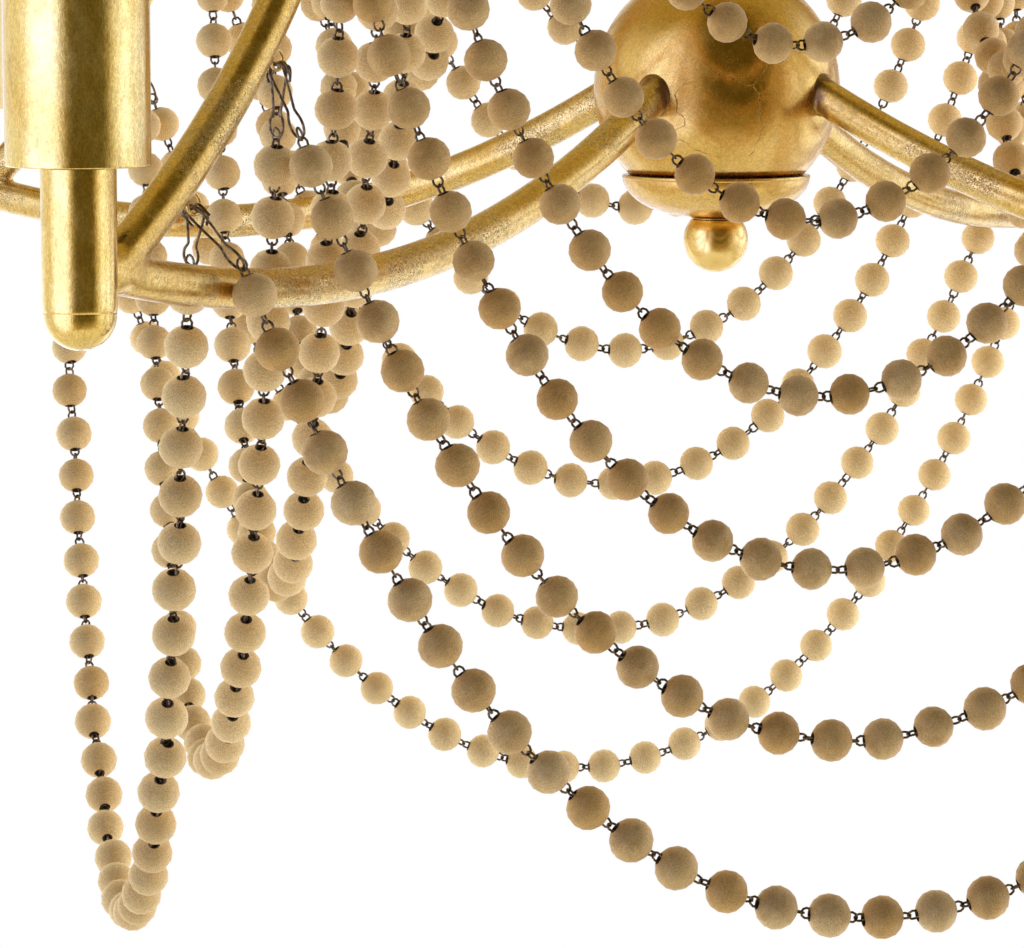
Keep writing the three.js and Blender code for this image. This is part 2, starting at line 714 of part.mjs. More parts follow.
const chandelier = new THREE.Group();
chandelier.add(namedMesh('ceiling_strap', ceilingStrap(), zincSteel));
chandelier.add(namedMesh('canopy', canopy(), goldLeaf));
chandelier.add(namedMesh('canopy_loop', canopyLoop(), goldLeaf));
for (let i = 0; i < chainLinks; i += 1) {
  const normal = i % 2 === 0 ? new THREE.Vector3(1, 0, 0) : new THREE.Vector3(0, 1, 0);
  const link = chainLink(firstLinkMiddle - i * linkPitch, normal);
  chandelier.add(namedMesh('chain_link_' + (i + 1), link, goldLeaf));
}
chandelier.add(chandelierBody());

export default chandelier;
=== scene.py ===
# A beaded chandelier: gilt arms round a turned hub, draped with swags of wooden beads.
import json
import math
import bpy
import numpy as np
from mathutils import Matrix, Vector


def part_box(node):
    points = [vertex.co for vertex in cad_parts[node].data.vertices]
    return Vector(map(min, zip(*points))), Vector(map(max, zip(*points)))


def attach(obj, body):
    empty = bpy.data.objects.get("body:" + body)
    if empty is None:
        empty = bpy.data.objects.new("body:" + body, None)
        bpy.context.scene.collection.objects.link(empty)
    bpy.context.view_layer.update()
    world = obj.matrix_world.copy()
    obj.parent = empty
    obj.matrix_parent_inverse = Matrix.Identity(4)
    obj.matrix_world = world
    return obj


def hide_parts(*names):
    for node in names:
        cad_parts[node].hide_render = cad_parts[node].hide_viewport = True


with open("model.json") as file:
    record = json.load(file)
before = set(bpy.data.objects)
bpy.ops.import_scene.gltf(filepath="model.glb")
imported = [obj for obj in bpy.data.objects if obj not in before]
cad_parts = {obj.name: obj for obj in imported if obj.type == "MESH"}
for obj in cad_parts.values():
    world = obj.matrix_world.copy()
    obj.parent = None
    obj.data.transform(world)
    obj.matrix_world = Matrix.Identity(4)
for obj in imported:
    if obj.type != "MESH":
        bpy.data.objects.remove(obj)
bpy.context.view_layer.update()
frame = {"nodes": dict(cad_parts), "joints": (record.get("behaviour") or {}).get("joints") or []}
mm = 0.001
chance = np.random.default_rng(11)
ballRadius = 44.0
hubMiddle = np.array([0.0, 0.0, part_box("hub_ball")[1].z - ballRadius * mm])
cornerNames = ["front_right", "back_right", "back_left", "front_left"]
cornerAngles = {name: (index - 0.5) * math.pi / 2 for index, name in enumerate(cornerNames)}
sideNames = ["front", "right", "back", "left"]
print("frame loaded:", len(frame["nodes"]), "nodes")


def newObject(name, data):
    made = bpy.data.objects.new(name, data)
    bpy.context.scene.collection.objects.link(made)
    return made


# ---- camera ----
# It stands where the bead centres of the photograph put it, seen from the hub's middle.
cameraValues = {
    "distance": 1.53477,  # metres from the hub's middle
    "turn": 14.2895,  # degrees round the lamp, from the front to the left
    "rise": 1.5624,  # degrees above the hub's middle
    "lookRight": 11.5519,  # degrees to the right of straight ahead
    "lookUp": -6.7443,
    "lens": 149.874,
}
turn, rise = math.radians(cameraValues["turn"]), math.radians(cameraValues["rise"])
towardsCamera = np.array([-math.sin(turn) * math.cos(rise), -math.cos(turn) * math.cos(rise), math.sin(rise)])
toTheRight = np.array([math.cos(turn), -math.sin(turn), 0.0])
yaw, pitch = math.radians(cameraValues["lookRight"]), math.radians(cameraValues["lookUp"])
lookingAlong = Vector((math.sin(yaw) * math.cos(pitch), math.cos(yaw) * math.cos(pitch), math.sin(pitch)))
cameraData = bpy.data.cameras.new("camera")
cameraData.lens = cameraValues["lens"]
cameraData.sensor_width = 36
cameraData.clip_end = 100
cameraObject = newObject("camera", cameraData)
cameraObject.location = Vector(hubMiddle + cameraValues["distance"] * towardsCamera)
cameraObject.rotation_mode = "QUATERNION"
cameraObject.rotation_quaternion = lookingAlong.to_track_quat("-Z", "Y")
bpy.context.scene.camera = cameraObject
bpy.context.scene.view_settings.view_transform = "Standard"
print("camera placed")


# ---- surfaces ----
def unit(v):
    return v / np.linalg.norm(v, axis=-1, keepdims=True)


# The corner numbers of the four-sided faces of a grid of rows by columns.
# A wrapped direction joins its last line to its first.
def gridFaces(rows, columns, wrapRows, wrapColumns=True):
    r = np.arange(rows if wrapRows else rows - 1)[:, None]
    c = np.arange(columns if wrapColumns else columns - 1)[None, :]
    nextR, nextC = (r + 1) % rows, (c + 1) % columns
    faces = [r * columns + c, nextR * columns + c, nextR * columns + nextC, r * columns + nextC]
    return np.stack(np.broadcast_arrays(*faces), -1).reshape(-1, 4)


# Triangles from one corner to each side of a ring that starts at the first corner number
def fanFaces(centre, first, sides, isTurned=False):
    ring = [first + np.arange(sides), first + (np.arange(sides) + 1) % sides]
    return np.stack([np.full(sides, centre), *(ring[::-1] if isTurned else ring)], -1)


# Six times the volume inside: each face's first three corners, and the last with the
# first and third, taken as wedges from the origin
def signedVolume(points, faceSets):
    total = 0.0
    for faces in faceSets:
        for k in range(1, faces.shape[1] - 1):
            a, b, c = points[faces[:, 0]], points[faces[:, k]], points[faces[:, k + 1]]
            total += np.einsum("ij,ij->", a, np.cross(b, c))
    return total


# Puts points and faces into a mesh object at the origin. All faces are turned over where the
# shape as a whole is inside out.
def meshObject(name, points, faceSets, material, attributes=None):
    points = np.asarray(points, float).reshape(-1, 3)
    middle = points.mean(0)
    if signedVolume(points - middle, faceSets) < -1e-11:
        faceSets = [faces[:, ::-1] for faces in faceSets]
    corners = np.concatenate([faces.ravel() for faces in faceSets])
    sizes = np.concatenate([np.full(len(faces), faces.shape[1]) for faces in faceSets])
    mesh = bpy.data.meshes.new(name)
    mesh.vertices.add(len(points))
    mesh.vertices.foreach_set("co", points.astype(np.float32).ravel())
    mesh.loops.add(len(corners))
    mesh.loops.foreach_set("vertex_index", corners.astype(np.int32))
    mesh.polygons.add(len(sizes))
    mesh.polygons.foreach_set("loop_start", (np.cumsum(sizes) - sizes).astype(np.int32))
    mesh.update(calc_edges=True)
    mesh.validate()
    mesh.shade_smooth()
    for key, values in (attributes or {}).items():
        isVector = values.ndim == 2
        layer = mesh.attributes.new(key, "FLOAT_VECTOR" if isVector else "FLOAT", "POINT")
        layer.data.foreach_set("vector" if isVector else "value", values.astype(np.float32).ravel())
    mesh.materials.append(material)
    return newObject(name, mesh)


# Fastens a piece to a body and hides the nodes that it stands for
def fasten(piece, body, slotName, *nodes):
    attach(piece, body)
    if nodes:
        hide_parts(*nodes)


def addPiece(name, surface, material, body, slotName, *nodes, attributes=None):
    fasten(meshObject(name, *surface, material, attributes), body, slotName, *nodes)


# Several surfaces as one: the points in a row, and each one's corner numbers moved on
def together(surfaces):
    points, faceSets, start = [], [], 0
    for surface in surfaces:
        points.append(np.asarray(surface[0], float).reshape(-1, 3))
        faceSets += [faces + start for faces in surface[1]]
        start += len(points[-1])
    return np.concatenate(points), faceSets


# Rounds the corners of a profile: each sharp corner becomes a short curve between the points
# one cut before and after it, with one more point on either side to keep the flats flat.
def softened(profile, cut, steps=4):
    p = np.asarray(profile, float)
    before, after = p[:-2] - p[1:-1], p[2:] - p[1:-1]
    lengthBefore, lengthAfter = np.linalg.norm(before, axis=1), np.linalg.norm(after, axis=1)
    room = np.minimum(np.minimum(lengthBefore, lengthAfter) / 2.4, cut)[:, None]
    b, a = unit(before), unit(after)
    t = np.linspace(0, 1, steps + 1)[None, :, None]
    start, corner, end = (p[1:-1] + b * room)[:, None], p[1:-1][:, None], (p[1:-1] + a * room)[:, None]
    curve = (1 - t) ** 2 * start + 2 * t * (1 - t) * corner + t**2 * end
    leadIn, leadOut = start + 0.35 * b[:, None] * room[:, None], end + 0.35 * a[:, None] * room[:, None]
    return np.concatenate([p[:1], np.concatenate([leadIn, curve, leadOut], 1).reshape(-1, 2), p[-1:]])


# A turned surface: the profile's (radius, height) pairs carried round an upright axis.
# It closes at its ends on the axis, or runs round on itself where it never meets the axis.
# The end faces are wound the other way from the rings, here as in the bars and beads below.
def turnedSurface(profile, sides, place=(0.0, 0.0, 0.0)):
    p = np.asarray(profile, float)
    low, high = p[0, 0] < 1e-9, p[-1, 0] < 1e-9
    body = p[int(low) : len(p) - int(high)]
    turn = np.arange(sides) / sides * 2 * np.pi
    ring = np.stack([np.cos(turn), np.sin(turn)], -1)
    points = np.concatenate(
        [body[:, None, :1] * ring[None], np.broadcast_to(body[:, None, 1:], (len(body), sides, 1))], -1
    ).reshape(-1, 3)
    faces = [gridFaces(len(body), sides, wrapRows=not low and not high)]
    if low:
        faces.append(fanFaces(len(points), 0, sides, isTurned=True))
        points = np.concatenate([points, [[0, 0, p[0, 1]]]])
    if high:
        faces.append(fanFaces(len(points), (len(body) - 1) * sides, sides))
        points = np.concatenate([points, [[0, 0, p[-1, 1]]]])
    return points * mm + np.asarray(place), [f[:, ::-1] for f in faces]


# A round bar along a path in millimetres: at each point a ring across the path's direction.
# Leading axes carry many bars at once. The normal is any direction off the path.
def sweptBar(path, radius, sides, normal, isClosed):
    path = np.asarray(path, float)
    if isClosed:
        along = unit(np.roll(path, -1, -2) - np.roll(path, 1, -2))
    else:
        along = unit(np.gradient(path, axis=-2))
    across = unit(np.cross(along, np.broadcast_to(normal, path.shape)))
    upwards = np.cross(across, along)
    turn = (np.arange(sides) + 0.5) / sides * 2 * np.pi
    thick = np.broadcast_to(radius, path.shape[:-1])[..., None, None]
    rings = path[..., None, :] + thick * (
        np.cos(turn)[:, None] * across[..., None, :] + np.sin(turn)[:, None] * upwards[..., None, :]
    )
    steps, count = path.shape[-2], int(np.prod(path.shape[:-2]))
    faces = gridFaces(steps, sides, wrapRows=isClosed)
    starts = (np.arange(count) * steps * sides)[:, None, None]
    faceSets = [(faces[None] + starts).reshape(-1, 4)]
    if not isClosed:
        i = np.arange(sides)
        ends = np.stack([i[::-1], (steps - 1) * sides + i])
        faceSets.append((ends[None] + starts).reshape(-1, sides))
    return rings.reshape(-1, 3) * mm, faceSets


# A smooth curve through the corners of a path: between two corners each point is the
# cubic blend of the four corners around it. Leading axes carry many paths at once.
def smoothPath(corners, steps, isClosed):
    c = np.asarray(corners, float)
    if isClosed:
        c = np.concatenate([c[..., -1:, :], c, c[..., :2, :]], -2)
    else:
        c = np.concatenate([2 * c[..., :1, :] - c[..., 1:2, :], c, 2 * c[..., -1:, :] - c[..., -2:-1, :]], -2)
    t = (np.arange(steps) / steps)[:, None]
    a, b, d, e = (c[..., k : c.shape[-2] - 3 + k, None, :] for k in range(4))
    curve = 0.5 * (2 * b + (d - a) * t + (2 * a - 5 * b + 4 * d - e) * t**2 + (3 * b - a - 3 * d + e) * t**3)
    curve = curve.reshape(*c.shape[:-2], -1, 3)
    return curve if isClosed else np.concatenate([curve, c[..., -2:-1, :]], -2)


# Turns points about the upright axis
def turnedRound(points, angle):
    c, s = math.cos(angle), math.sin(angle)
    return np.asarray(points) @ np.array([[c, s, 0], [-s, c, 0], [0, 0, 1]])


def moved(surface, place, angle=0.0):
    return turnedRound(surface[0], angle) + np.asarray(place), surface[1]


# Points whose coordinates are counted from an origin along two or three directions
def placed(origin, coordinates, *directions):
    for k, direction in enumerate(directions):
        origin = origin + coordinates[..., k : k + 1] * direction
    return origin


# ---- materials ----
# A helper that adds nodes to a new material or world, with their values and links
class NodeBench:
    def __init__(self, name, kind="materials"):
        self.made = getattr(bpy.data, kind).new(name)
        self.made.use_nodes = True
        self.tree = self.made.node_tree
        self.output = self.tree.nodes["World Output" if kind == "worlds" else "Material Output"]

    def node(self, kind, values=None, links=None, **settings):
        made = self.tree.nodes.new(kind)
        for key, value in settings.items():
            setattr(made, key, value)
        for key, value in (values or {}).items():
            made.inputs[key].default_value = value
        for key, source in (links or {}).items():
            self.tree.links.new(source, made.inputs[key])
        return made

    # A socket is given a number, a colour or another socket's value
    def feed(self, socket, value):
        if isinstance(value, (int, float)):
            socket.default_value = value
        elif isinstance(value, tuple):
            socket.default_value = (*value, 1)
        else:
            self.tree.links.new(value, socket)

    def attribute(self, name, output="Fac"):
        return self.node("ShaderNodeAttribute", attribute_name=name).outputs[output]

    def place(self, scale=(1, 1, 1), attribute=None):
        if attribute:
            source = self.attribute(attribute, "Vector")
        else:
            source = self.node("ShaderNodeTexCoord").outputs["Object"]
        return self.node("ShaderNodeMapping", {"Scale": scale}, {"Vector": source}).outputs["Vector"]

    def noise(self, place, scale, detail=3.0, rough=0.55, output="Fac"):
        values = {"Scale": scale, "Detail": detail, "Roughness": rough}
        return self.node("ShaderNodeTexNoise", values, {"Vector": place}).outputs[output]

    # The share of the way from low to high, eased at both ends
    def between(self, source, low, high, fromValue=0.0, toValue=1.0):
        values = {"From Min": low, "From Max": high, "To Min": fromValue, "To Max": toValue}
        made = self.node("ShaderNodeMapRange", values, {"Value": source}, interpolation_type="SMOOTHSTEP")
        return made.outputs["Result"]

    def maths(self, operation, *values):
        made = self.node("ShaderNodeMath", operation=operation)
        for k, value in enumerate(values):
            self.feed(made.inputs[k], value)
        return made.outputs[0]

    def vectorMaths(self, operation, first, second=None, output=0):
        made = self.node("ShaderNodeVectorMath", links={0: first}, operation=operation)
        if isinstance(second, tuple):
            made.inputs[1].default_value = second
        elif second is not None:
            self.tree.links.new(second, made.inputs[1])
        return made.outputs[output]

    def mix(self, share, a, b, blend="MIX"):
        made = self.node("ShaderNodeMix", data_type="RGBA", blend_type=blend)
        for key, value in ((0, share), (6, a), (7, b)):
            self.feed(made.inputs[key], value)
        return made.outputs[2]

    # A colour times a grey
    def shaded(self, colour, shade):
        grey = self.node("ShaderNodeCombineColor", links={"Red": shade, "Green": shade, "Blue": shade})
        return self.mix(1.0, colour, grey.outputs[0], "MULTIPLY")

    def bump(self, height, distance, strength=1.0, under=None):
        links = {"Height": height}
        if under is not None:
            links["Normal"] = under
        made = self.node("ShaderNodeBump", {"Distance": distance, "Strength": strength}, links)
        return made.outputs["Normal"]

    def set(self, **sockets):
        shader = self.tree.nodes["Principled BSDF"]
        for key, value in sockets.items():
            self.feed(shader.inputs[key.replace("_", " ")], value)
        return shader

    # Shows the first shader where the share is 0 and the second where it is 1
    def showMix(self, share, first, second):
        mixed = self.node("ShaderNodeMixShader", links={0: share, 1: first.outputs[0], 2: second.outputs[0]})
        self.tree.links.new(mixed.outputs[0], self.output.inputs["Surface"])


# Gold leaf over red-brown clay: mottled gold, fine brushed or wrinkled grain, thin dark
# cracks where leaves meet, and specks rubbed through to the clay.
goldValues = {
    "rich": ((0.80, 0.51, 0.145), (0.69, 0.415, 0.095)),  # the lighter and the darker leaf
    "pale": ((0.95, 0.72, 0.27), (0.86, 0.585, 0.16)),
    "olive": (0.50, 0.33, 0.08),
    "clay": (0.15, 0.075, 0.045),
    "crack": (0.10, 0.055, 0.015),
    "roughness": 0.22,
    # painted shade and grime at the welds: where it fades out, and where it ends
    "weldShadeAndGrimeFades": (0.044, 0.054),  # metres from the ball's middle
    "weldShadeAndGrimeEnds": (0.05, 0.062),
    "seamDrop": 0.0309,  # of the seam between ball and cap below the ball's middle
    # how wide the painted shade and dirt in the seam are
    "seamWidth": (0.0001, 0.0004),
}


def goldLeaf(name, tone, stretch=(1, 1, 1), wear=0.5, cracks=0.5, grain=1.0, roughness=None, weldShadeAndGrime=0.0):
    bench = NodeBench(name)
    lighter, darker = (
        tuple((1 - tone) * rich + tone * pale for rich, pale in zip(*pair))
        for pair in zip(goldValues["rich"], goldValues["pale"])
    )
    place = bench.place()
    long = bench.place(stretch)
    clouds = bench.noise(place, 30, 4, 0.6)
    mottle = bench.noise(long, 170, 5, 0.66)
    specks = bench.noise(long, 800, 4, 0.7)
    fine = bench.noise(long, 2300, 2, 0.7)
    colour = bench.mix(bench.between(clouds, 0.36, 0.62), darker, lighter)
    colour = bench.mix(bench.between(mottle, 0.52, 0.72, 0.0, 0.4), colour, goldValues["olive"])
    shade = bench.between(specks, 0.3, 0.7, 1 - 0.22 * grain, 1 + 0.1 * grain)
    shade = bench.maths("MULTIPLY", shade, bench.between(fine, 0.28, 0.72, 1 - 0.3 * grain, 1 + 0.16 * grain))
    colour = bench.shaded(colour, shade)
    # Cracks run along the edges of bent cells, in some places only
    bend = bench.vectorMaths("MULTIPLY", bench.noise(place, 45, 5, 0.5, "Color"), (0.02, 0.02, 0.02))
    bentPlace = bench.vectorMaths("ADD", place, bend)
    cells = bench.node("ShaderNodeTexVoronoi", {"Scale": 22}, {"Vector": bentPlace}, feature="DISTANCE_TO_EDGE")
    line = bench.between(cells.outputs["Distance"], 0.0005, 0.0032, 1.0, 0.0)
    crackedPlaces = bench.between(bench.noise(place, 55, 3), 0.62 - 0.2 * cracks, 0.7 - 0.2 * cracks)
    line = bench.maths("MULTIPLY", line, crackedPlaces)
    rubbed = bench.between(bench.noise(long, 2000, 3, 0.7), 0.63 - 0.08 * wear, 0.67 - 0.08 * wear)
    wornPlaces = bench.between(bench.noise(place, 30, 4, 0.6), 0.575 - 0.07 * wear, 0.66 - 0.06 * wear)
    rubbed = bench.maths("MULTIPLY", rubbed, wornPlaces)
    colour = bench.mix(bench.maths("MULTIPLY", rubbed, 0.75), colour, goldValues["clay"])
    colour = bench.mix(bench.maths("MULTIPLY", line, 0.55), colour, goldValues["crack"])
    rough = roughness or goldValues["roughness"]
    rough = bench.between(mottle, 0.3, 0.75, rough - 0.05, rough + 0.1)
    rough = bench.maths("ADD", rough, bench.maths("MULTIPLY", rubbed, 0.25))
    if weldShadeAndGrime:
        # Painted shade and darker, crumpled leaf, with a ragged edge, where a bar runs into the ball
        away = bench.vectorMaths("LENGTH", bench.vectorMaths("ADD", place, tuple(-hubMiddle)), output="Value")
        jointShadeAndGrime = bench.between(away, *goldValues["weldShadeAndGrimeFades"], 1.0, 0.0)
        jointShadeAndGrime = bench.maths("ADD", jointShadeAndGrime, bench.between(mottle, 0.35, 0.7, -0.35, 0.25))
        jointShadeAndGrime = bench.maths("MULTIPLY", bench.between(jointShadeAndGrime, 0.2, 1.0), weldShadeAndGrime)
        jointShadeAndGrime = bench.maths("MULTIPLY", jointShadeAndGrime, bench.between(away, *goldValues["weldShadeAndGrimeEnds"], 1.0, 0.0))
        colour = bench.mix(jointShadeAndGrime, colour, goldValues["clay"])
    if name == "gold_leaf_ball":
        # Painted shade and old dirt in the seam between the ball and the cap
        height = bench.node("ShaderNodeSeparateXYZ", links={0: place}).outputs["Z"]
        seam = float(hubMiddle[2]) - goldValues["seamDrop"]
        fromSeam = bench.maths("ABSOLUTE", bench.maths("SUBTRACT", height, seam))
        seamShadeAndDirt = bench.between(fromSeam, *goldValues["seamWidth"], 0.5, 0.0)
        colour = bench.mix(seamShadeAndDirt, colour, goldValues["crack"])
        rubbed = bench.maths("MAXIMUM", rubbed, seamShadeAndDirt)
    normal = bench.bump(mottle, 0.0003 * grain, 0.3)
    normal = bench.bump(specks, 0.00007 * grain, 0.5, normal)
    normal = bench.bump(fine, 0.00002 * grain, 0.6, normal)
    normal = bench.bump(bench.maths("ADD", line, rubbed), -0.00012, 0.7, normal)
    metal = bench.maths("SUBTRACT", 1.0, bench.maths("MULTIPLY", rubbed, 0.35))
    bench.set(Base_Color=colour, Metallic=metal, Roughness=rough, Normal=normal)
    return bench.made


# The bars get painted shade and grime where they run into the ball
leafOnBars = goldLeaf("gold_leaf_bars", 0.45, wear=1.15, cracks=0.2, grain=1.1, roughness=0.25, weldShadeAndGrime=0.85)
leafOnBall = goldLeaf("gold_leaf_ball", 0.0, wear=0.2, cracks=0.8, grain=0.7)
leafOnTubes = goldLeaf("gold_leaf_tubes", 0.9, stretch=(1, 1, 0.45), wear=-0.6, cracks=-0.6, grain=0.75, roughness=0.2)
leafSmooth = goldLeaf("gold_leaf_smooth", 0.6, wear=-0.8, cracks=-0.6, grain=0.08, roughness=0.22)
leafOnGear = goldLeaf("gold_leaf_gear", 0.4, wear=0.5, cracks=0.2)


# Bare turned wood: lathe lines across the bead's axis, fine pores, soft growth bands, a tone of its own for each bead,
# painted shade in the hole, and a paler colour painted on the lit swags as painted light. The two places are in bead
# millimetres.
woodValues = {
    "cream": (0.80, 0.555, 0.25),
    "honey": (0.70, 0.415, 0.125),
    "brown": (0.49, 0.28, 0.085),
    # the paler colour painted on the swags that face the lights, as painted light
    "bleached": (0.94, 0.70, 0.345),
    # the painted shade in the bead holes
    "hole": (0.06, 0.035, 0.017),
}


def woodFinish():
    bench = NodeBench("wood_beads")
    turnedPlace = bench.place((0.25, 0.25, 3.6), "turnedPlace")
    grainPlace = bench.place((1, 1, 1), "grainPlace")
    lathe = bench.noise(turnedPlace, 1.0, 2)
    clouds = bench.noise(grainPlace, 0.11, 2)
    waveValues = {"Scale": 0.5, "Distortion": 1.2, "Detail": 2.0, "Detail Scale": 0.5}
    growth = bench.node("ShaderNodeTexWave", waveValues, {"Vector": grainPlace}).outputs["Fac"]
    pores = bench.noise(bench.place((3.4, 2.2, 3.4), "grainPlace"), 1.0, 2, 0.75)
    tone = bench.between(bench.attribute("tone"), 0.0, 1.0)
    colour = bench.mix(tone, woodValues["honey"], woodValues["cream"])
    colour = bench.mix(bench.between(clouds, 0.40, 0.66, 0.0, 0.6), colour, woodValues["brown"])
    # Painted light: beads of the swags on the lit sides are mixed towards a paler colour
    colour = bench.mix(bench.attribute("bleached"), colour, woodValues["bleached"])
    shade = bench.between(lathe, 0.3, 0.7, 0.93, 1.05)
    shade = bench.maths("MULTIPLY", shade, bench.between(growth, 0.0, 1.0, 0.94, 1.03))
    shade = bench.maths("MULTIPLY", shade, bench.between(pores, 0.36, 0.62, 0.72, 1.10))
    colour = bench.shaded(colour, shade)
    # Painted shade: the hole's cone is darkened
    colour = bench.mix(bench.between(bench.attribute("bore"), 0.35, 0.9), colour, woodValues["hole"])
    normal = bench.bump(lathe, 0.0001, 0.5)
    normal = bench.bump(pores, 0.0001, 0.6, normal)
    rough = bench.between(pores, 0.3, 0.7, 0.75, 0.6)
    bench.set(Base_Color=colour, Roughness=rough, Normal=normal, Specular_IOR_Level=0.22, Sheen_Weight=0.12)
    return bench.made


# Aged bronze wire: dark brown with brighter rubbed places
def wireFinish():
    bench = NodeBench("bronze_wire")
    place = bench.place()
    worn = bench.noise(place, 500, 4)
    colour = bench.mix(bench.between(worn, 0.4, 0.65), (0.085, 0.055, 0.028), (0.30, 0.215, 0.12))
    rough = bench.between(worn, 0.35, 0.7, 0.42, 0.28)
    normal = bench.bump(bench.noise(place, 2500, 2), 0.00004, 0.6)
    bench.set(Base_Color=colour, Metallic=0.95, Roughness=rough, Normal=normal)
    return bench.made


# Plain finishes with a light mottle: colour, how metallic, how rough
def plainFinish(name, colour, metallic, roughness, scale=300):
    bench = NodeBench(name)
    mottle = bench.noise(bench.place(), scale, 4)
    darker = tuple(0.82 * c for c in colour)
    mixed = bench.mix(bench.between(mottle, 0.35, 0.65), darker, colour)
    rough = bench.between(mottle, 0.3, 0.7, roughness - 0.05, roughness + 0.08)
    normal = bench.bump(mottle, 0.00008, 0.5)
    bench.set(Base_Color=mixed, Metallic=metallic, Roughness=rough, Normal=normal)
    return bench.made


# Clear bulb glass with a faint unevenness
def glassFinish():
    bench = NodeBench("bulb_glass")
    waves = bench.noise(bench.place(), 40, 2)
    tint = bench.mix(bench.between(waves, 0.3, 0.7), (0.89, 0.87, 0.83), (0.95, 0.94, 0.91))
    normal = bench.bump(waves, 0.0002, 0.3)
    bench.set(Base_Color=tint, Roughness=0.03, Transmission_Weight=1.0, IOR=1.45, Normal=normal)
    return bench.made


woodBeads = woodFinish()
bronzeWire = wireFinish()
bulbGlass = glassFinish()
holderBlack = plainFinish("holder_black", (0.022, 0.019, 0.016), 0.0, 0.42)
strapSteel = plainFinish("strap_steel", (0.55, 0.55, 0.53), 1.0, 0.38)
baseBrass = plainFinish("bulb_base_brass", (0.62, 0.46, 0.2), 1.0, 0.25)
filamentWire = plainFinish("bulb_filament", (0.42, 0.24, 0.08), 0.2, 0.4)
print("materials made")

# ---- hub ----
hubValues = {
    "flatDrop": 30.8,  # the ball's flat below its middle, in millimetres as all sizes here
    "lipRadius": 33.72,
    "lipEdge": 0.9,
    "capDepth": 15.8,
    "capFoot": 9.0,
    "finialRadius": 11.6,
    "topHubHeight": 430.0,
    "topHubRadius": 24.0,
    "topHubFlat": 10.0,
    "stemRadius": 6.35,
    "gap": 0.3,
}


# Part of a circle as (radius, height) pairs, between two angles above the horizontal
def arcProfile(radius, middle, fromAngle, toAngle, steps):
    angle = np.linspace(fromAngle, toAngle, steps + 1)
    return np.stack([radius * np.cos(angle), middle + radius * np.sin(angle)], -1)


# A ball about the upright axis with its top cut flat, and a small step in from the flat's edge
def cutBall(radius, middle, flatRadius, step):
    arc = arcProfile(radius, middle, -math.pi / 2, math.acos(flatRadius / radius), 40)
    arc[0, 0] = 0
    flat = arc[-1, 1]
    return turnedSurface(np.concatenate([arc, [[arc[-1, 0] - step, flat], [0, flat]]]), 64, hubMiddle)


def makeHub():
    v = hubValues
    drop, gap = v["flatDrop"], v["gap"]
    arc = arcProfile(ballRadius, 0, -math.asin(drop / ballRadius), math.pi / 2, 64)
    arc[-1, 0] = 0
    ball = turnedSurface(np.concatenate([[[0, -drop], [arc[0, 0] - 0.8, -drop]], arc]), 128, hubMiddle)
    addPiece("hub_ball_leafed", ball, leafOnBall, "lamp_frame", "gold_leaf", "hub_ball")
    # The cap's bowl: a quarter wave from its foot out to the lip, with a sharp rolled edge
    top, lipRadius, capFoot = -drop - gap, v["lipRadius"], v["capFoot"]
    lipLow, footLow = top - v["lipEdge"], top - v["capDepth"]
    rise = np.linspace(0, math.pi / 2, 33)
    bowl = np.stack([capFoot + (lipRadius - capFoot) * np.sin(rise), top - (v["capDepth"] - 1) * np.cos(rise)], -1)
    bowl[:, 1] = np.minimum(bowl[:, 1], lipLow)
    foot = [[0, footLow], [capFoot - 0.6, footLow], [capFoot, footLow + 0.35]]
    lip = softened([bowl[-2], [lipRadius, lipLow], [lipRadius, top], [lipRadius - 4, top]], 0.35, 3)[1:]
    bowl = bowl[1:-1][bowl[1:-1, 1] < lipLow - 0.1]
    cap = turnedSurface(np.concatenate([foot, bowl, lip, [[0, top]]]), 128, hubMiddle)
    addPiece("bottom_cap_leafed", cap, leafOnBall, "lamp_frame", "gold_leaf", "bottom_cap")
    seat = math.sqrt(v["finialRadius"] ** 2 - capFoot**2)
    knob = cutBall(v["finialRadius"], footLow - gap - seat, capFoot, 0.6)
    addPiece("finial_leafed", knob, leafSmooth, "lamp_frame", "gold_leaf", "finial")
    # The stem and the top hub, out of the photograph's frame
    bore = v["stemRadius"] - 1.6
    bottom = math.sqrt(ballRadius**2 - bore**2) + gap
    upper = v["topHubHeight"] - math.sqrt(v["topHubRadius"] ** 2 - bore**2) - gap
    tube = [[bore, bottom], [v["stemRadius"], bottom], [v["stemRadius"], upper], [bore, upper]]
    stem = turnedSurface(softened(tube + tube[:1], 0.3, 3)[:-1], 32, hubMiddle)
    addPiece("centre_stem_leafed", stem, leafOnTubes, "lamp_frame", "gold_leaf", "centre_stem")
    knob = cutBall(v["topHubRadius"], v["topHubHeight"], v["topHubFlat"], 0.7)
    addPiece("top_hub_leafed", knob, leafOnBall, "lamp_frame", "gold_leaf", "top_hub")


makeHub()
print("hub made")

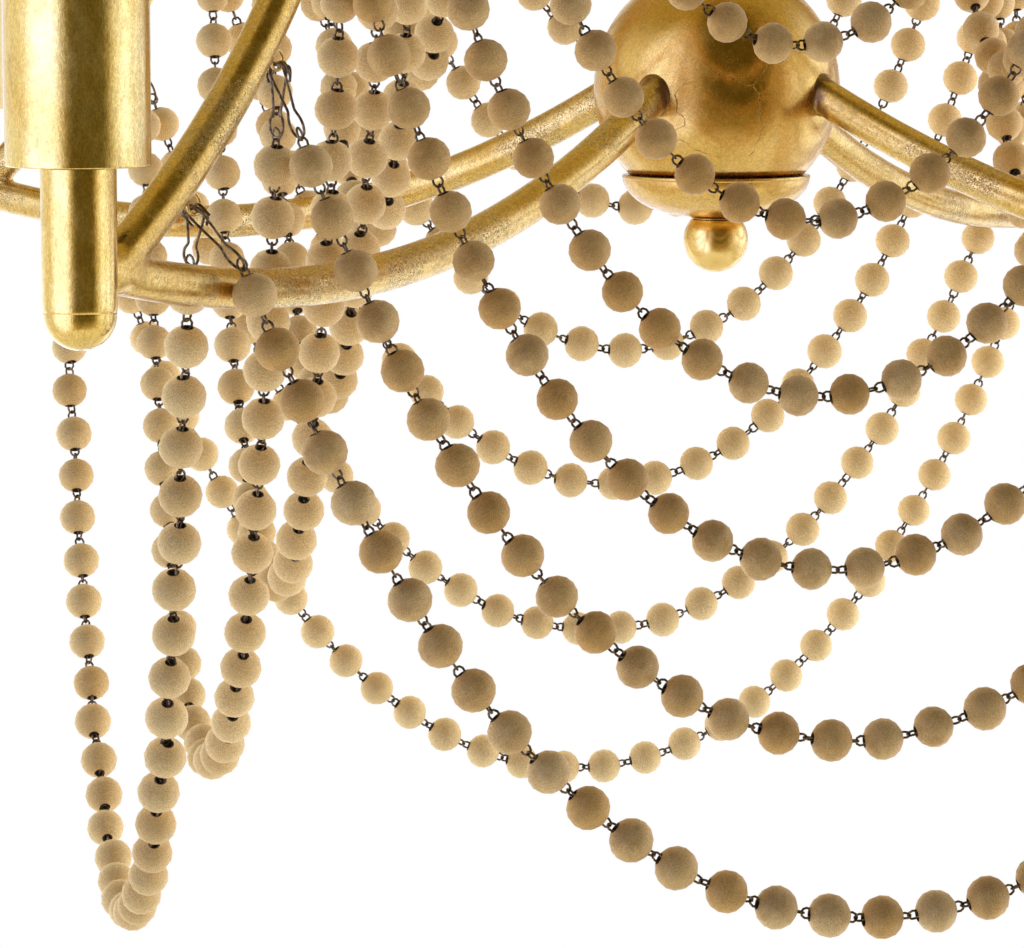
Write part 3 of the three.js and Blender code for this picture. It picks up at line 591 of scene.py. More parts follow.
# ---- arms ----
armValues = {
    "barRadius": 6.35,
    "reach": 360.0,
    "crotchDrop": 45.6,
    "crotchInset": 13.0,
    "topLean": 43.6,  # degrees from the vertical where the upper bar meets the top hub
    "lowerRoot": 0.9,  # of the ball's radius
    "lowerGuides": [(0.329, 0.963), (0.599, 1.581)],  # of the reach, and of the crotch's drop
    "upperGuide": (0.51, 0.1493),  # of the reach, and of the top hub's height
    "upperRunIn": 0.8,
    "weldFlare": 0.9,  # of the rough bars at the ball, before they are blended
    "flareLength": 2.2,
    "weldDepth": 0.35,  # of the balls that are blended in, under their own faces
    "weldTravel": 4,  # the farthest that a point of the skin may move
    "crotchFillet": 3.4,  # width of the blend between the two bars
    "hubFillet": 1.8,
    "voxel": 0.95,
    "smoothing": 4,
    "eyeletShares": [0.0755, 0.177, 0.2807, 0.3739, 0.4708, 0.5693],
    "eyeletRadius": 3.3,
    "eyeletWire": 0.65,
    "eyeletShown": 0.55,  # radius of the wire that is seen
}


# A cubic curve between two points with two guide points
def guided(corners, t):
    a, b, c, d = (np.asarray(corner, float)[None] for corner in corners)
    t = np.asarray(t)[:, None]
    return (1 - t) ** 3 * a + 3 * t * (1 - t) ** 2 * b + 3 * t**2 * (1 - t) * c + t**3 * d


def armPaths():
    v = armValues
    crotch = np.array([v["reach"] - v["crotchInset"], 0, -v["crotchDrop"]])
    guides = [[v["reach"] * across, 0, -v["crotchDrop"] * down] for across, down in v["lowerGuides"]]
    lower = [[ballRadius * v["lowerRoot"], 0, 0], *guides, crotch]
    height, lean = hubValues["topHubHeight"], math.radians(v["topLean"])
    approach, top = np.array([math.sin(lean), 0, -math.cos(lean)]), np.array([0, 0, height])
    upper = [
        crotch,
        [v["reach"] * v["upperGuide"][0], 0, height * v["upperGuide"][1]],
        top + approach * height * v["upperRunIn"],
        top + approach * (hubValues["topHubRadius"] + hubValues["gap"]),
    ]
    return lower, upper


# The distance outside a bar and the way out of it: from each point to the nearest point of
# the bar's path, less the bar's radius
def outsideBar(points, path, radius):
    nearest = ((path**2).sum(1)[None] - 2 * points @ path.T).argmin(1)
    along = unit(np.gradient(path, axis=0))[nearest]
    half = 0.5 * np.linalg.norm(np.gradient(path, axis=0), axis=1)[nearest]
    offset = points - path[nearest]
    away = offset - along * np.clip((offset * along).sum(1), -half, half)[:, None]
    distance = np.linalg.norm(away, axis=1)
    return distance - radius, away / distance[:, None]


# The same for a ball
def outsideBall(points, middle, radius):
    away = points - middle
    distance = np.linalg.norm(away, axis=1)
    return distance - radius, away / distance[:, None]


# Two shapes blended into one: where their distances are alike, the blend bulges out by up to
# a quarter of its width, and that is the fillet of the weld
def blended(first, second, width):
    (a, wayA), (b, wayB) = first, second
    share = np.clip(0.5 + 0.5 * (b - a) / width, 0, 1)
    distance = b + (a - b) * share - width * share * (1 - share)
    return distance, wayB + (wayA - wayB) * share[:, None]


# The points and four-sided faces of an object as its modifiers leave it. It is then removed.
def modifiedSurface(rough):
    evaluated = rough.evaluated_get(bpy.context.evaluated_depsgraph_get())
    mesh = evaluated.to_mesh()
    points = np.empty(len(mesh.vertices) * 3, np.float32)
    mesh.vertices.foreach_get("co", points)
    corners = np.empty(len(mesh.loops), np.int32)
    mesh.loops.foreach_get("vertex_index", corners)
    evaluated.to_mesh_clear()
    bpy.data.objects.remove(rough)
    return points.reshape(-1, 3).astype(float) / mm, [corners.reshape(-1, 4)]


# The two bars of an arm as one welded skin: both bars are swept and made one closed surface,
# whose points then move out to the blend of the two bars, the hub's ball and the top hub.
def weldedArm():
    v = armValues
    lower, upper = armPaths()
    lowerPath = guided(lower, np.linspace(0, 1, 260))
    onwards = unit(lowerPath[-1] - lowerPath[-2])
    further = np.linspace(0.8, v["crotchInset"] - 9, 5)[:, None]
    lowerPath = np.concatenate([lowerPath, lowerPath[-1] + onwards * further])
    upperPath = guided(upper, np.linspace(0, 1, 320))
    topMiddle = np.array([0, 0, hubValues["topHubHeight"]])
    ends = [(lowerPath, np.linalg.norm(lowerPath, axis=1) - ballRadius)]
    ends.append((upperPath, np.linalg.norm(upperPath - topMiddle, axis=1) - hubValues["topHubRadius"]))
    bars = []
    for path, away in ends:
        flare = v["weldFlare"] * np.exp(-np.maximum(away + 0.5, 0) / v["flareLength"])
        bars.append(sweptBar(path[::2], (v["barRadius"] + flare)[::2], 28, (0, 1, 0), False))
    rough = meshObject("arm_rough", *together(bars), leafOnBars)
    remesh = rough.modifiers.new("weld", "REMESH")
    remesh.mode = "VOXEL"
    remesh.voxel_size = v["voxel"] * mm
    smooth = rough.modifiers.new("soften", "SMOOTH")
    smooth.factor = 0.5
    smooth.iterations = v["smoothing"]
    points, faces = modifiedSurface(rough)
    start = points.copy()
    for _ in range(6):
        bars = [outsideBar(points, path, v["barRadius"]) for path in (lowerPath, upperPath)]
        whole = blended(*bars, v["crotchFillet"])
        for middle, radius in ((0 * topMiddle, ballRadius), (topMiddle, hubValues["topHubRadius"])):
            whole = blended(whole, outsideBall(points, middle, radius - v["weldDepth"]), v["hubFillet"])
        distance, way = whole
        points = points - way * (distance / np.maximum((way**2).sum(1), 0.3))[:, None]
    stray = points - start
    share = np.minimum(1, v["weldTravel"] / np.maximum(np.linalg.norm(stray, axis=1), 1e-9))
    return (start + stray * share[:, None]) * mm, faces


# The eyelets under an upper bar. Each is a wire ring in the arm's plane whose two ends pass
# each other at the bar, and the lower end runs on along the bar and into it.
def eyelets():
    v = armValues
    upper = armPaths()[1]
    fineSteps = np.linspace(0, 1, 2001)
    line = guided(upper, fineSteps)
    lengths = np.concatenate([[0], np.cumsum(np.linalg.norm(np.diff(line, axis=0), axis=1))])
    at = np.interp(np.array(v["eyeletShares"]) * lengths[-1], lengths, fineSteps)
    bar = guided(upper, at)
    along = unit(guided(upper, at + 1e-4) - guided(upper, at - 1e-4))
    under = np.cross(along, [0, 1, 0])
    middle = bar + under * (v["barRadius"] + v["eyeletRadius"] + v["eyeletWire"])
    turn = np.radians(np.linspace(18, 344, 22))
    ring = v["eyeletRadius"] * np.stack([-np.cos(turn), np.sin(turn)], -1)
    aside = np.linspace(-0.42, 0.42, 22)
    r = v["eyeletRadius"] + v["eyeletWire"]
    tail = np.array([[-r * 0.96, -1.6], [-r * 1.04, -3.0], [-r * 1.12, -4.6]])
    flat = np.concatenate([[[-r * 1.15, 0.5]], ring, tail])
    aside = np.concatenate([[-0.42], aside, [0.3, 0.15, 0.0]])
    path = placed(middle[:, None], flat[None], under[:, None], along[:, None])
    path = smoothPath(path + aside[:, None] * np.array([0, 1, 0]), 3, False)
    rings = sweptBar(path, v["eyeletShown"], 9, (0, 1, 0), False)
    foot = np.array([0.45, 0.8, 1.0])[:, None] * (v["barRadius"] + 0.35)
    footRadii = np.array([2.2, 1.9, 1.0])[None]
    feet = sweptBar(bar[:, None] + under[:, None] * foot[None], footRadii, 12, (0, 1, 0), False)
    return together([rings, feet])


def makeArms():
    arm, rings = weldedArm(), eyelets()
    for name, angle in cornerAngles.items():
        nodes = ["lower_arm_" + name, "upper_arm_" + name]
        addPiece("arm_" + name, moved(arm, hubMiddle, angle), leafOnBars, "lamp_frame", "gold_leaf", *nodes)
        addPiece("eyelets_" + name, moved(rings, hubMiddle, angle), leafOnGear, "lamp_frame", "gold_leaf")


makeArms()
print("arms made")

# ---- candles ----
candleValues = {
    "floorDrop": 14.4,
    "radius": 21.1,
    "height": 102.0,
    "wall": 1.2,
    "floor": 3.0,
    "bulletRadius": 11.05,
    "bulletLength": 53.2,
    "bulletRise": 0.24,  # of its top into the gap under the tube
    "tipShare": 0.2,  # of the bullet's length
    "seamShare": 0.97,  # of its radius, where the tip screws on
    "holderRadius": 10.0,
    "holderStem": (5.0, 28.0),
    "holderLength": 58.0,
    "bore": (6.4, 22.0),
    "bulbBase": 6.0,
    "bulbRadius": 17.5,
    "bulbGlass": 78.0,
    "gap": 0.3,
}


# A small screw thread on a profile: the radius rises and falls along the height
def threadProfile(radius, low, high, pitch, depth):
    steps = int((high - low) / pitch * 8)
    height = np.linspace(low, high, steps + 1)
    return np.stack([radius - depth * (0.5 + 0.5 * np.cos(2 * np.pi * (height - low) / pitch)), height], -1)


def makeCandles():
    v = candleValues
    top = -v["floorDrop"] - v["gap"]
    low = top - v["bulletLength"]
    r = v["bulletRadius"]
    tip, seam = v["bulletLength"] * v["tipShare"], r * v["seamShare"]
    rise = np.linspace(0, math.pi / 2, 25)
    # The bullet: a quarter ellipse for the tip, a fine groove where it screws on, a straight body
    nose = np.stack([seam * np.sin(rise), low + tip * (1 - np.cos(rise))], -1)
    nose[0, 0] = 0
    groove = [[seam + 0.05, low + tip + 0.35], [seam - 0.18, low + tip + 0.55], [seam + 0.12, low + tip + 0.8]]
    side = [[r - 0.1, low + tip + 1.6], [r, low + tip + 3]]
    top += v["bulletRise"]
    neck = softened([side[-1], [r, top - 1.2], [r, top - 0.35], [r - 0.35, top], [0.5, top]], 0.4, 3)[1:-1]
    bullet = turnedSurface(np.concatenate([nose, groove, side, neck, [[0, top]]]), 64)
    floorLow, floorTop = -v["floorDrop"], -v["floorDrop"] + v["floor"]
    high, outer, inner = floorLow + v["height"], v["radius"], v["radius"] - v["wall"]
    wall = [[0, floorLow], [outer, floorLow], [outer, high], [inner, high], [inner, floorTop], [0, floorTop]]
    tube = turnedSurface(softened(wall, 0.55, 4), 96)
    stemR, stemLong = v["holderStem"]
    boreR, boreDeep = v["bore"]
    base = floorTop + v["gap"]
    shell = base + stemLong
    shellTop = shell + v["holderLength"]
    body = [[stemR, shell], [v["holderRadius"], shell], [v["holderRadius"], shellTop]]
    body += [[boreR, shellTop], [boreR, shellTop - boreDeep], [0, shellTop - boreDeep]]
    nipple = threadProfile(stemR, base + 0.2, shell - 0.2, 1.4, 0.45)
    holderBody = softened(body, 0.5, 3)
    holder = turnedSurface(np.concatenate([[[0, base]], nipple, holderBody]), 48)
    # The bulb: its screw shell, its glass flame, and the mount and filament wire inside
    bulbLow, neckAt = shellTop - boreDeep + v["gap"], shellTop + v["gap"]
    thread = threadProfile(v["bulbBase"], bulbLow + 2.5, neckAt - 1.5, 2.8, 0.55)
    contact = [[0, bulbLow], [2.2, bulbLow], [2.6, bulbLow + 0.8], [4.8, bulbLow + 1.6]]
    collar = [[v["bulbBase"], neckAt - 0.6], [8.3, neckAt + 0.2], [8.3, neckAt + 1.2], [0, neckAt + 1.2]]
    screw = turnedSurface(np.concatenate([contact, thread, collar]), 40)
    shares = [[0.44, 0.0], [0.62, 0.07], [0.84, 0.16], [0.985, 0.27], [1.0, 0.36], [0.95, 0.46], [0.83, 0.58]]
    shares += [[0.65, 0.7], [0.45, 0.81], [0.26, 0.91], [0.13, 0.97]]
    line = np.array([[a * v["bulbRadius"], 0, neckAt + 1 + b * (v["bulbGlass"] - 1)] for a, b in shares])
    curve = smoothPath(line, 5, False)[:, [0, 2]]
    tipAt = neckAt + v["bulbGlass"]
    outside = np.concatenate([curve, [[0.9, tipAt - 0.4], [0, tipAt]]])
    inside = np.concatenate([curve - [0.7, 0], [[0.5, tipAt - 1.8], [0, tipAt - 2.0]]])[::-1]
    inside[-1, 1] += 0.8  # the glass is thicker at its neck
    glass = turnedSurface(np.concatenate([outside[::-1], inside[::-1]]), 56)
    stand = np.array([[0, 1.3], [3.0, 1.3], [2.4, 10], [1.2, 17], [0, 18]])
    leg = np.array([[-2.6, 0, 15], [-3.6, 0, 26], [-3.0, 0, 48]])
    route = smoothPath(np.concatenate([leg, [[0, 0.6, 53]], leg[::-1] * [-1, 1, 1]]), 8, False)
    wire = sweptBar(route + [0, 0, neckAt], 0.45, 8, (0, 1, 0), False)
    filament = together([turnedSurface(stand + [0, neckAt], 20), wire])
    for name, angle in cornerAngles.items():
        spot = hubMiddle + turnedRound(np.array([armValues["reach"], 0, 0]) * mm, angle)
        frameParts = [
            ("bullet_", "leafed_", bullet, leafOnTubes, "gold_leaf"),
            ("candle_tube_", "leafed_", tube, leafOnTubes, "gold_leaf"),
            ("lamp_holder_", "moulded_", holder, holderBlack, "holder_shell"),
        ]
        for node, finish, surface, material, slotName in frameParts:
            addPiece(node + finish + name, moved(surface, spot), material, "lamp_frame", slotName, node + name)
        body = "bulb_" + name + "_body"
        addPiece("bulb_glass_" + name, moved(glass, spot), bulbGlass, body, "bulb_glass", "bulb_" + name)
        addPiece("bulb_base_" + name, moved(screw, spot), baseBrass, body, "bulb_glass")
        addPiece("bulb_filament_" + name, moved(filament, spot), filamentWire, body, "bulb_glass")


makeCandles()
print("candles made")

# ---- swags ----
# Each swag hangs from the two eyelets of its joint line: a straight clip at each end and
# beads on wire eyes along the hanging line between them.
swagValues = {
    "beads": {
        "front": [35, 32, 30, 28, 26, 24],
        "right": [38, 34, 31, 29, 27, 25],
        "back": [38, 34, 31, 29, 27, 25],
        "left": [38, 35, 32, 29, 27, 25],
    },
    "endSizes": [1.0, 0.99, 0.9, 0.87, 1.0, 1.0],  # of each row's end beads, so that two sides stay apart
    # how far each side's beads are painted paler, as painted light
    "bleached": {"front": 0.0, "right": 0.3, "back": 0.9, "left": 0.7},
    "beadDiameter": 14.0,
    "beadLength": 12.9,
    "holeRadius": 1.95,
    "link": 4.6,
    "clipLength": 24.0,
    "rowLeans": [49, None, None, None, 64, 60],  # degrees, or as the swag's own line gives it
    "leanShare": 0.25,
    "eyeWire": 0.42,
    "eyeMiddle": 0.7,  # of an eye's ring, out from its bead's end
    "eyeHalfLength": 2.02,
    "eyeHalfWidth": 1.62,
    "clipWire": 0.45,
    "sway": 0.35,  # how far a bead strays from the line, in millimetres
    "tilt": 5.0,  # and how far it tips, in degrees
}


# The sag value of a hanging line of a given length between two points, found by halving
def sagValue(halfSpan, length):
    low, high = halfSpan / 12, halfSpan * 20
    for _ in range(60):
        middle = (low + high) / 2
        if 2 * middle * math.sinh(halfSpan / middle) > length:
            low = middle
        else:
            high = middle
    return (low + high) / 2


# A hanging line in its own upright plane: the place and direction at each length along it.
# Across it is a times the inverse hyperbolic sine of the length from its lowest point over a.
def hangingLine(halfSpan, length, along):
    a = sagValue(halfSpan, length)
    x = a * np.arcsinh((np.asarray(along) - length / 2) / a)
    z = a * (np.cosh(x / a) - math.cosh(halfSpan / a))
    return np.stack([x, 0 * x, z], -1), unit(np.stack([np.ones_like(x), 0 * x, np.sinh(x / a)], -1))


# Two directions square to each of a row of directions, turned by an angle about it
def squareTo(direction, angle):
    side = np.broadcast_to(np.array([0.0, 1.0, 0.0]), direction.shape)
    u = unit(side - direction * (side * direction).sum(-1, keepdims=True))
    v = np.cross(direction, u)
    c, s = np.cos(angle)[..., None], np.sin(angle)[..., None]
    return u * c + v * s, v * c - u * s


# Beads: the profile is an ellipse cut off at the hole, with a cone for the hole itself that is painted dark as shade,
# carried round each bead's own axis
def beadSurfaces(middle, direction, bleached, endSize):
    v = swagValues
    count, sides = len(middle), 14
    half, radius, hole = v["beadLength"] / 2, v["beadDiameter"] / 2, v["holeRadius"]
    reach = half / math.sqrt(1 - (hole / radius) ** 2)
    angle = np.array([0.0, 0.33, 0.64, 0.94]) * math.asin(half / reach)
    angle = np.concatenate([-angle[:0:-1], angle])
    across, along = radius * np.cos(angle), reach * np.sin(angle)
    across = np.concatenate([[hole], across, [hole]])
    along = np.concatenate([[-half], along, [half]])
    turn = np.arange(sides) / sides * 2 * np.pi
    direction = unit(direction + chance.normal(0, math.radians(v["tilt"]) * 0.5, direction.shape))
    u, w = squareTo(direction, chance.uniform(0, 2 * np.pi, count))
    grid = [across[:, None] * np.cos(turn), across[:, None] * np.sin(turn), along[:, None]]
    local = np.stack(np.broadcast_arrays(*grid), -1).reshape(-1, 3)
    local = np.concatenate([local, [[0, 0, -half + 3], [0, 0, half - 3]]])
    size = 1 + chance.normal(0, 0.012, (count, 1, 1))
    size[[0, -1]] = endSize
    points = placed(middle[:, None], local * size, u[:, None], w[:, None], direction[:, None])
    per, last = len(local), (len(along) - 1) * sides
    cones = np.concatenate([fanFaces(per - 2, 0, sides, isTurned=True), fanFaces(per - 1, last, sides)])
    starts = (np.arange(count) * per)[:, None, None]
    shells = [gridFaces(len(along), sides, wrapRows=False), cones]
    faces = [(part[None, :, ::-1] + starts).reshape(-1, part.shape[1]) for part in shells]
    offset = chance.uniform(-300, 300, (count, 1, 3))
    spin = unit(chance.normal(0, 1, (count, 3)))
    other = unit(np.cross(spin, chance.normal(0, 1, (count, 3))))
    basis = np.stack([spin, other, np.cross(spin, other)], 1)
    # the hole's cone carries the painted shade
    bore = np.zeros((len(along), sides))
    bore[[0, -1]] = 0.75
    bore = np.concatenate([bore.ravel(), [1.0, 1.0]])
    attributes = {
        "turnedPlace": (local[None] + offset).reshape(-1, 3),
        "grainPlace": (np.einsum("nij,mj->nmi", basis, local) + offset).reshape(-1, 3),
        "tone": np.repeat(np.clip(chance.normal(0.4, 0.35, count), 0, 1), per),
        "bleached": np.repeat(np.clip(chance.normal(bleached, 0.12, count), 0, 1), per),
        "bore": np.tile(bore, count),
    }
    return (points.reshape(-1, 3) * mm, faces), attributes


# Wire eyes: two ovals in each gap, hooked into each other and square to each other, each
# narrower where it goes down into its bead's hole
def eyeSurfaces(place, direction):
    v = swagValues
    count = len(place)
    turn = np.arange(10) / 10 * 2 * np.pi
    twist = chance.uniform(0, np.pi, count)
    surfaces = []
    for end, extra in ((1, 0.0), (-1, np.pi / 2)):
        u, w = squareTo(direction, twist + extra + chance.normal(0, 0.25, count))
        out = v["eyeMiddle"] + v["eyeHalfLength"] * np.cos(turn)
        wide = v["eyeHalfWidth"] * np.sin(turn) * (1 + 0.12 * np.cos(turn))
        oval = np.stack([-end * v["link"] / 2 + end * out, wide], -1)[None]
        path = placed(place[:, None], oval, direction[:, None], u[:, None])
        surfaces.append(sweptBar(path, v["eyeWire"], 5, w[:, None], True))
    return together(surfaces)


# A clip: one wire that hooks through the eyelet, runs down both legs to a waist, and opens
# into a wider loop below, which holds the first bead's eye. Across, along and out of plane.
clipRoute = np.array(
    [
        [3.9, 4.6, 0.55], [4.0, 1.3, 0.5], [3.2, -0.25, 0.45], [0, -0.3, 0.45], [-2.7, 0.1, 0.4], [-3.0, 1.8, 0.2],
        [-2.5, 6, 0], [-1.45, 13.6, 0], [-1.5, 15.3, 0], [-2.35, 17.8, 0], [-2.45, 20.4, 0], [-1.7, 22.6, 0],
        [0, 23.5, 0], [1.7, 22.6, 0], [2.45, 20.4, 0], [2.35, 17.8, 0], [1.5, 15.3, 0], [1.45, 13.6, 0],
        [2.5, 6, 0], [3.0, 1.8, -0.2], [2.7, 0.1, -0.4], [0, -0.3, -0.45], [-3.2, -0.25, -0.45], [-4.0, 1.3, -0.5],
        [-3.9, 4.6, -0.55],
    ]
)  # fmt: skip


def clipSurface(end, halfSpan, lean):
    top = np.array([end * halfSpan, 0, 0])
    down = np.array([-end * math.cos(lean), 0, -math.sin(lean)])
    across = unit(np.array([-end, -1.0, 0]))
    normal = unit(np.cross(across, down))
    flat = unit(across - down * (across @ down))
    route = smoothPath(clipRoute, 4, False)
    return sweptBar(placed(top, route, flat, down, normal), swagValues["clipWire"], 8, normal, False)


def makeSwag(side, row, joint):
    v = swagValues
    beads = v["beads"][side][row]
    pivot = np.array(joint["pos_m"])
    halfSpan = np.abs(pivot[:2]).max() / mm
    pitch = v["beadLength"] + v["link"]
    length = beads * pitch
    if v["rowLeans"][row]:
        lean = math.radians(v["rowLeans"][row])
    else:
        whole = sagValue(halfSpan, length + 2 * v["clipLength"])
        lean = math.atan(math.sinh((halfSpan - v["clipLength"] * v["leanShare"]) / whole))
    span = halfSpan - v["clipLength"] * math.cos(lean)
    stray = chance.normal(0, v["sway"], (beads, 3)) * [0.6, 1, 0.6]
    middle, direction = hangingLine(span, length, (np.arange(beads) + 0.5) * pitch)
    gap, gapDirection = hangingLine(span, length, np.arange(beads + 1) * pitch)
    lowered = np.array([0, 0, -v["clipLength"] * math.sin(lean)])
    middle = middle + stray + lowered
    beadSurface, attributes = beadSurfaces(middle, direction, v["bleached"][side], v["endSizes"][row])
    eyeStray = np.zeros((beads + 1, 3))
    eyeStray[1:-1] = (stray[1:] + stray[:-1]) / 2
    eyes = eyeSurfaces(gap + eyeStray + lowered, gapDirection)
    wires = together([eyes, clipSurface(-1, halfSpan, lean), clipSurface(1, halfSpan, lean)])
    angle = sideNames.index(side) * math.pi / 2
    name = side + "_" + str(row + 1)
    body = "swag_" + name + "_body"
    beadSurface = moved(beadSurface, pivot, angle)
    addPiece("beads_" + name, beadSurface, woodBeads, body, "wood_beads", "swag_" + name, attributes=attributes)
    wirePiece = meshObject("wires_" + name, *moved(wires, pivot, angle), bronzeWire)
    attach(wirePiece, body)


joints = {joint["name"]: joint for joint in frame["joints"]}
for side in sideNames:
    for row in range(6):
        makeSwag(side, row, joints["swag_" + side + "_" + str(row + 1) + "_swing"])
print("swags hung")

# ---- hanging gear ----
gearValues = {
    "canopyRadius": 64.0,
    "canopyDepth": 30.0,
    "canopyWall": 1.5,
    "canopyNeck": 9.0,
    "studRadius": 4.8,
    "strap": (102.0, 19.0, 2.5),
    "strapSlot": (33.0, 10.0, 2.2),  # its middle's distance, half its length and half its width
    "strapEdge": 0.2,
    "loopRadius": 11.0,
    "loopWire": 2.6,
    "collar": (8.0, 7.0),
    "linkWire": 2.0,
    "linkHalf": (6.0, 13.0),  # inside, half across and half along
    "gap": 0.3,
}


# A loop's ring and collar, from the collar's far end, upwards or downwards
def loopSurface(foot, way, studLength):
    v = gearValues
    radius, tall = v["collar"]
    middle = foot + way * (tall + v["loopRadius"] + v["loopWire"] - 1)
    turn = np.arange(64) / 64 * 2 * np.pi
    ring = np.stack([v["loopRadius"] * np.cos(turn), 0 * turn, middle + v["loopRadius"] * np.sin(turn)], -1)
    low, high = min(foot, foot + way * tall), max(foot, foot + way * tall)
    band = [[0, low], [radius, low], [radius, low + 1.6], [radius - 0.9, low + 2.2], [radius - 0.9, high - 2.2]]
    band += [[radius, high - 1.6], [radius, high], [0, high]]
    parts = [sweptBar(ring, v["loopWire"], 20, (0, 1, 0), True), turnedSurface(softened(band, 0.4, 3), 48)]
    if studLength:
        stud = threadProfile(v["studRadius"], high - 0.5, high + studLength, 1.4, 0.4)
        parts.append(turnedSurface(np.concatenate([[[0, high - 0.5]], stud, [[0, high + studLength]]]), 32))
    return together(parts)


def makeGear():
    v = gearValues
    steps = np.linspace(0, math.pi / 2, 33)
    neck, depth, wall = v["canopyNeck"], v["canopyDepth"], v["canopyWall"]
    spread = v["canopyRadius"] - neck
    outer = np.stack([neck + spread * np.sin(steps), -depth * np.cos(steps)], -1)
    inner = np.stack([neck + (spread - wall) * np.sin(steps), -(depth - wall) * np.cos(steps)], -1)[::-1]
    hole = v["studRadius"] + v["gap"]
    dome = turnedSurface(np.concatenate([[[hole, -depth]], outer, inner, [[hole, -depth + wall]]]), 112)
    addPiece("canopy_leafed", dome, leafOnBall, "ceiling", "gold_leaf", "canopy")
    foot = -depth - v["gap"]
    loop = loopSurface(foot, -1, -v["strap"][2] - v["gap"] - foot)
    addPiece("canopy_loop_leafed", loop, leafOnGear, "ceiling", "gold_leaf", "canopy_loop")
    # A chain link: two half rings with straight wires between them, every other one turned
    turn = np.linspace(0, 2 * np.pi, 72, endpoint=False)
    bend = v["linkHalf"][0] + v["linkWire"]
    straight = v["linkHalf"][1] - v["linkHalf"][0]
    up = bend * np.sin(turn) + np.sign(np.sin(turn)) * straight
    link = sweptBar(np.stack([bend * np.cos(turn), 0 * turn, up], -1), v["linkWire"], 16, (0, 1, 0), True)
    for index in range(3):
        node = "chain_link_" + str(index + 1)
        low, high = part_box(node)
        surface = moved(link, [0, 0, (low.z + high.z) / 2], math.pi / 2 if index % 2 == 0 else 0)
        addPiece(node + "_leafed", surface, leafOnGear, "chain_" + str(index + 1), "gold_leaf", node)
    topFlat = hubValues["topHubHeight"] + math.sqrt(hubValues["topHubRadius"] ** 2 - hubValues["topHubFlat"] ** 2)
    loop = moved(loopSurface(topFlat + v["gap"], 1, 0), hubMiddle)
    addPiece("hanging_loop_leafed", loop, leafOnGear, "lamp_frame", "gold_leaf", "hanging_loop")


# The strap: a flat bar with a slot at each end, cut as a filled outline
def makeStrap():
    length, width, thick = gearValues["strap"]
    slotPlace, slotHalfLong, slotHalfWide = gearValues["strapSlot"]
    edge = gearValues["strapEdge"]
    curve = bpy.data.curves.new("strap_outline", "CURVE")
    curve.dimensions = "2D"
    curve.fill_mode = "BOTH"
    curve.extrude = (thick / 2 - edge) * mm
    curve.bevel_depth = edge * mm
    curve.bevel_resolution = 2
    turn = np.arange(48) / 48 * 2 * np.pi
    corner = np.stack([np.cos(turn), np.sin(turn)], -1)

    def capsule(middle, halfLong, halfWide, radius):
        box = np.sign(np.round(corner, 6)) * [halfLong - radius, halfWide - radius]
        return middle + box + corner * radius

    outlines = [capsule(np.zeros(2), length / 2 - edge, width / 2 - edge, 2.5)]
    for side in (-1, 1):
        outlines.append(capsule(np.array([side * slotPlace, 0.0]), slotHalfLong, slotHalfWide, slotHalfWide))
    for outline in outlines:
        spline = curve.splines.new("POLY")
        spline.points.add(len(outline) - 1)
        flat = np.concatenate([outline * mm, np.zeros((len(outline), 1)), np.ones((len(outline), 1))], 1)
        spline.points.foreach_set("co", flat.ravel())
        spline.use_cyclic_u = True
    holder = newObject("strap_outline", curve)
    bpy.context.view_layer.update()
    mesh = bpy.data.meshes.new_from_object(holder.evaluated_get(bpy.context.evaluated_depsgraph_get()))
    bpy.data.objects.remove(holder)
    points = np.empty(len(mesh.vertices) * 3, np.float32)
    mesh.vertices.foreach_get("co", points)
    mesh.vertices.foreach_set("co", (points.reshape(-1, 3) - [0, 0, thick / 2 * mm]).astype(np.float32).ravel())
    mesh.materials.clear()
    mesh.materials.append(strapSteel)
    fasten(newObject("ceiling_strap_cut", mesh), "ceiling", "strap_steel", "ceiling_strap")


makeGear()
makeStrap()
print("hanging gear made")

# ---- studio ----
studioValues = {
    "floorHeight": -2.3,
    "floorRadius": 9.0,
    "floorFade": (-1.2, 1.4),
    "frontLight": 0.04,  # how bright the room is round the camera, and on the far side of the lamp
    "roomLight": 1.12,
    "roomFade": (0.65, -0.55),  # between the two, as the cosine of the angle from the camera
    "lightColour": (1.0, 0.98, 0.94),
    "lightsMiddle": -0.1,  # metres above the hub
    "sideLights": [(-1.05, 8.0), (1.05, 13.0)],  # metres to the right of the hub, watts
    "sideBack": 0.4,  # metres behind the hub
    "sideSize": (1.1, 1.6),
    "topLight": 5.0,
    "topPlace": (1.6, 1.8),  # metres behind the lamp and above its middle
    "topSize": 1.8,
}


# What the camera sees behind the lamp, or mirrored or through glass, is white. The light that
# falls on surfaces comes from all sides but the camera's.
def makeWorld():
    v = studioValues
    bench = NodeBench("studio", "worlds")
    bpy.context.scene.world = bench.made
    rays = bench.node("ShaderNodeLightPath").outputs
    seen = bench.maths("MAXIMUM", rays["Is Camera Ray"], rays["Is Glossy Ray"])
    seen = bench.maths("MAXIMUM", seen, rays["Is Transmission Ray"])
    way = bench.node("ShaderNodeTexCoord").outputs["Generated"]
    nearness = bench.vectorMaths("DOT_PRODUCT", way, tuple(towardsCamera), output="Value")
    strength = bench.between(nearness, *v["roomFade"], v["frontLight"], v["roomLight"])
    light = bench.node("ShaderNodeBackground", {"Color": (*v["lightColour"], 1)}, {"Strength": strength})
    white = bench.node("ShaderNodeBackground", {"Color": (1, 1, 1, 1), "Strength": 1})
    bench.showMix(seen, light, white)


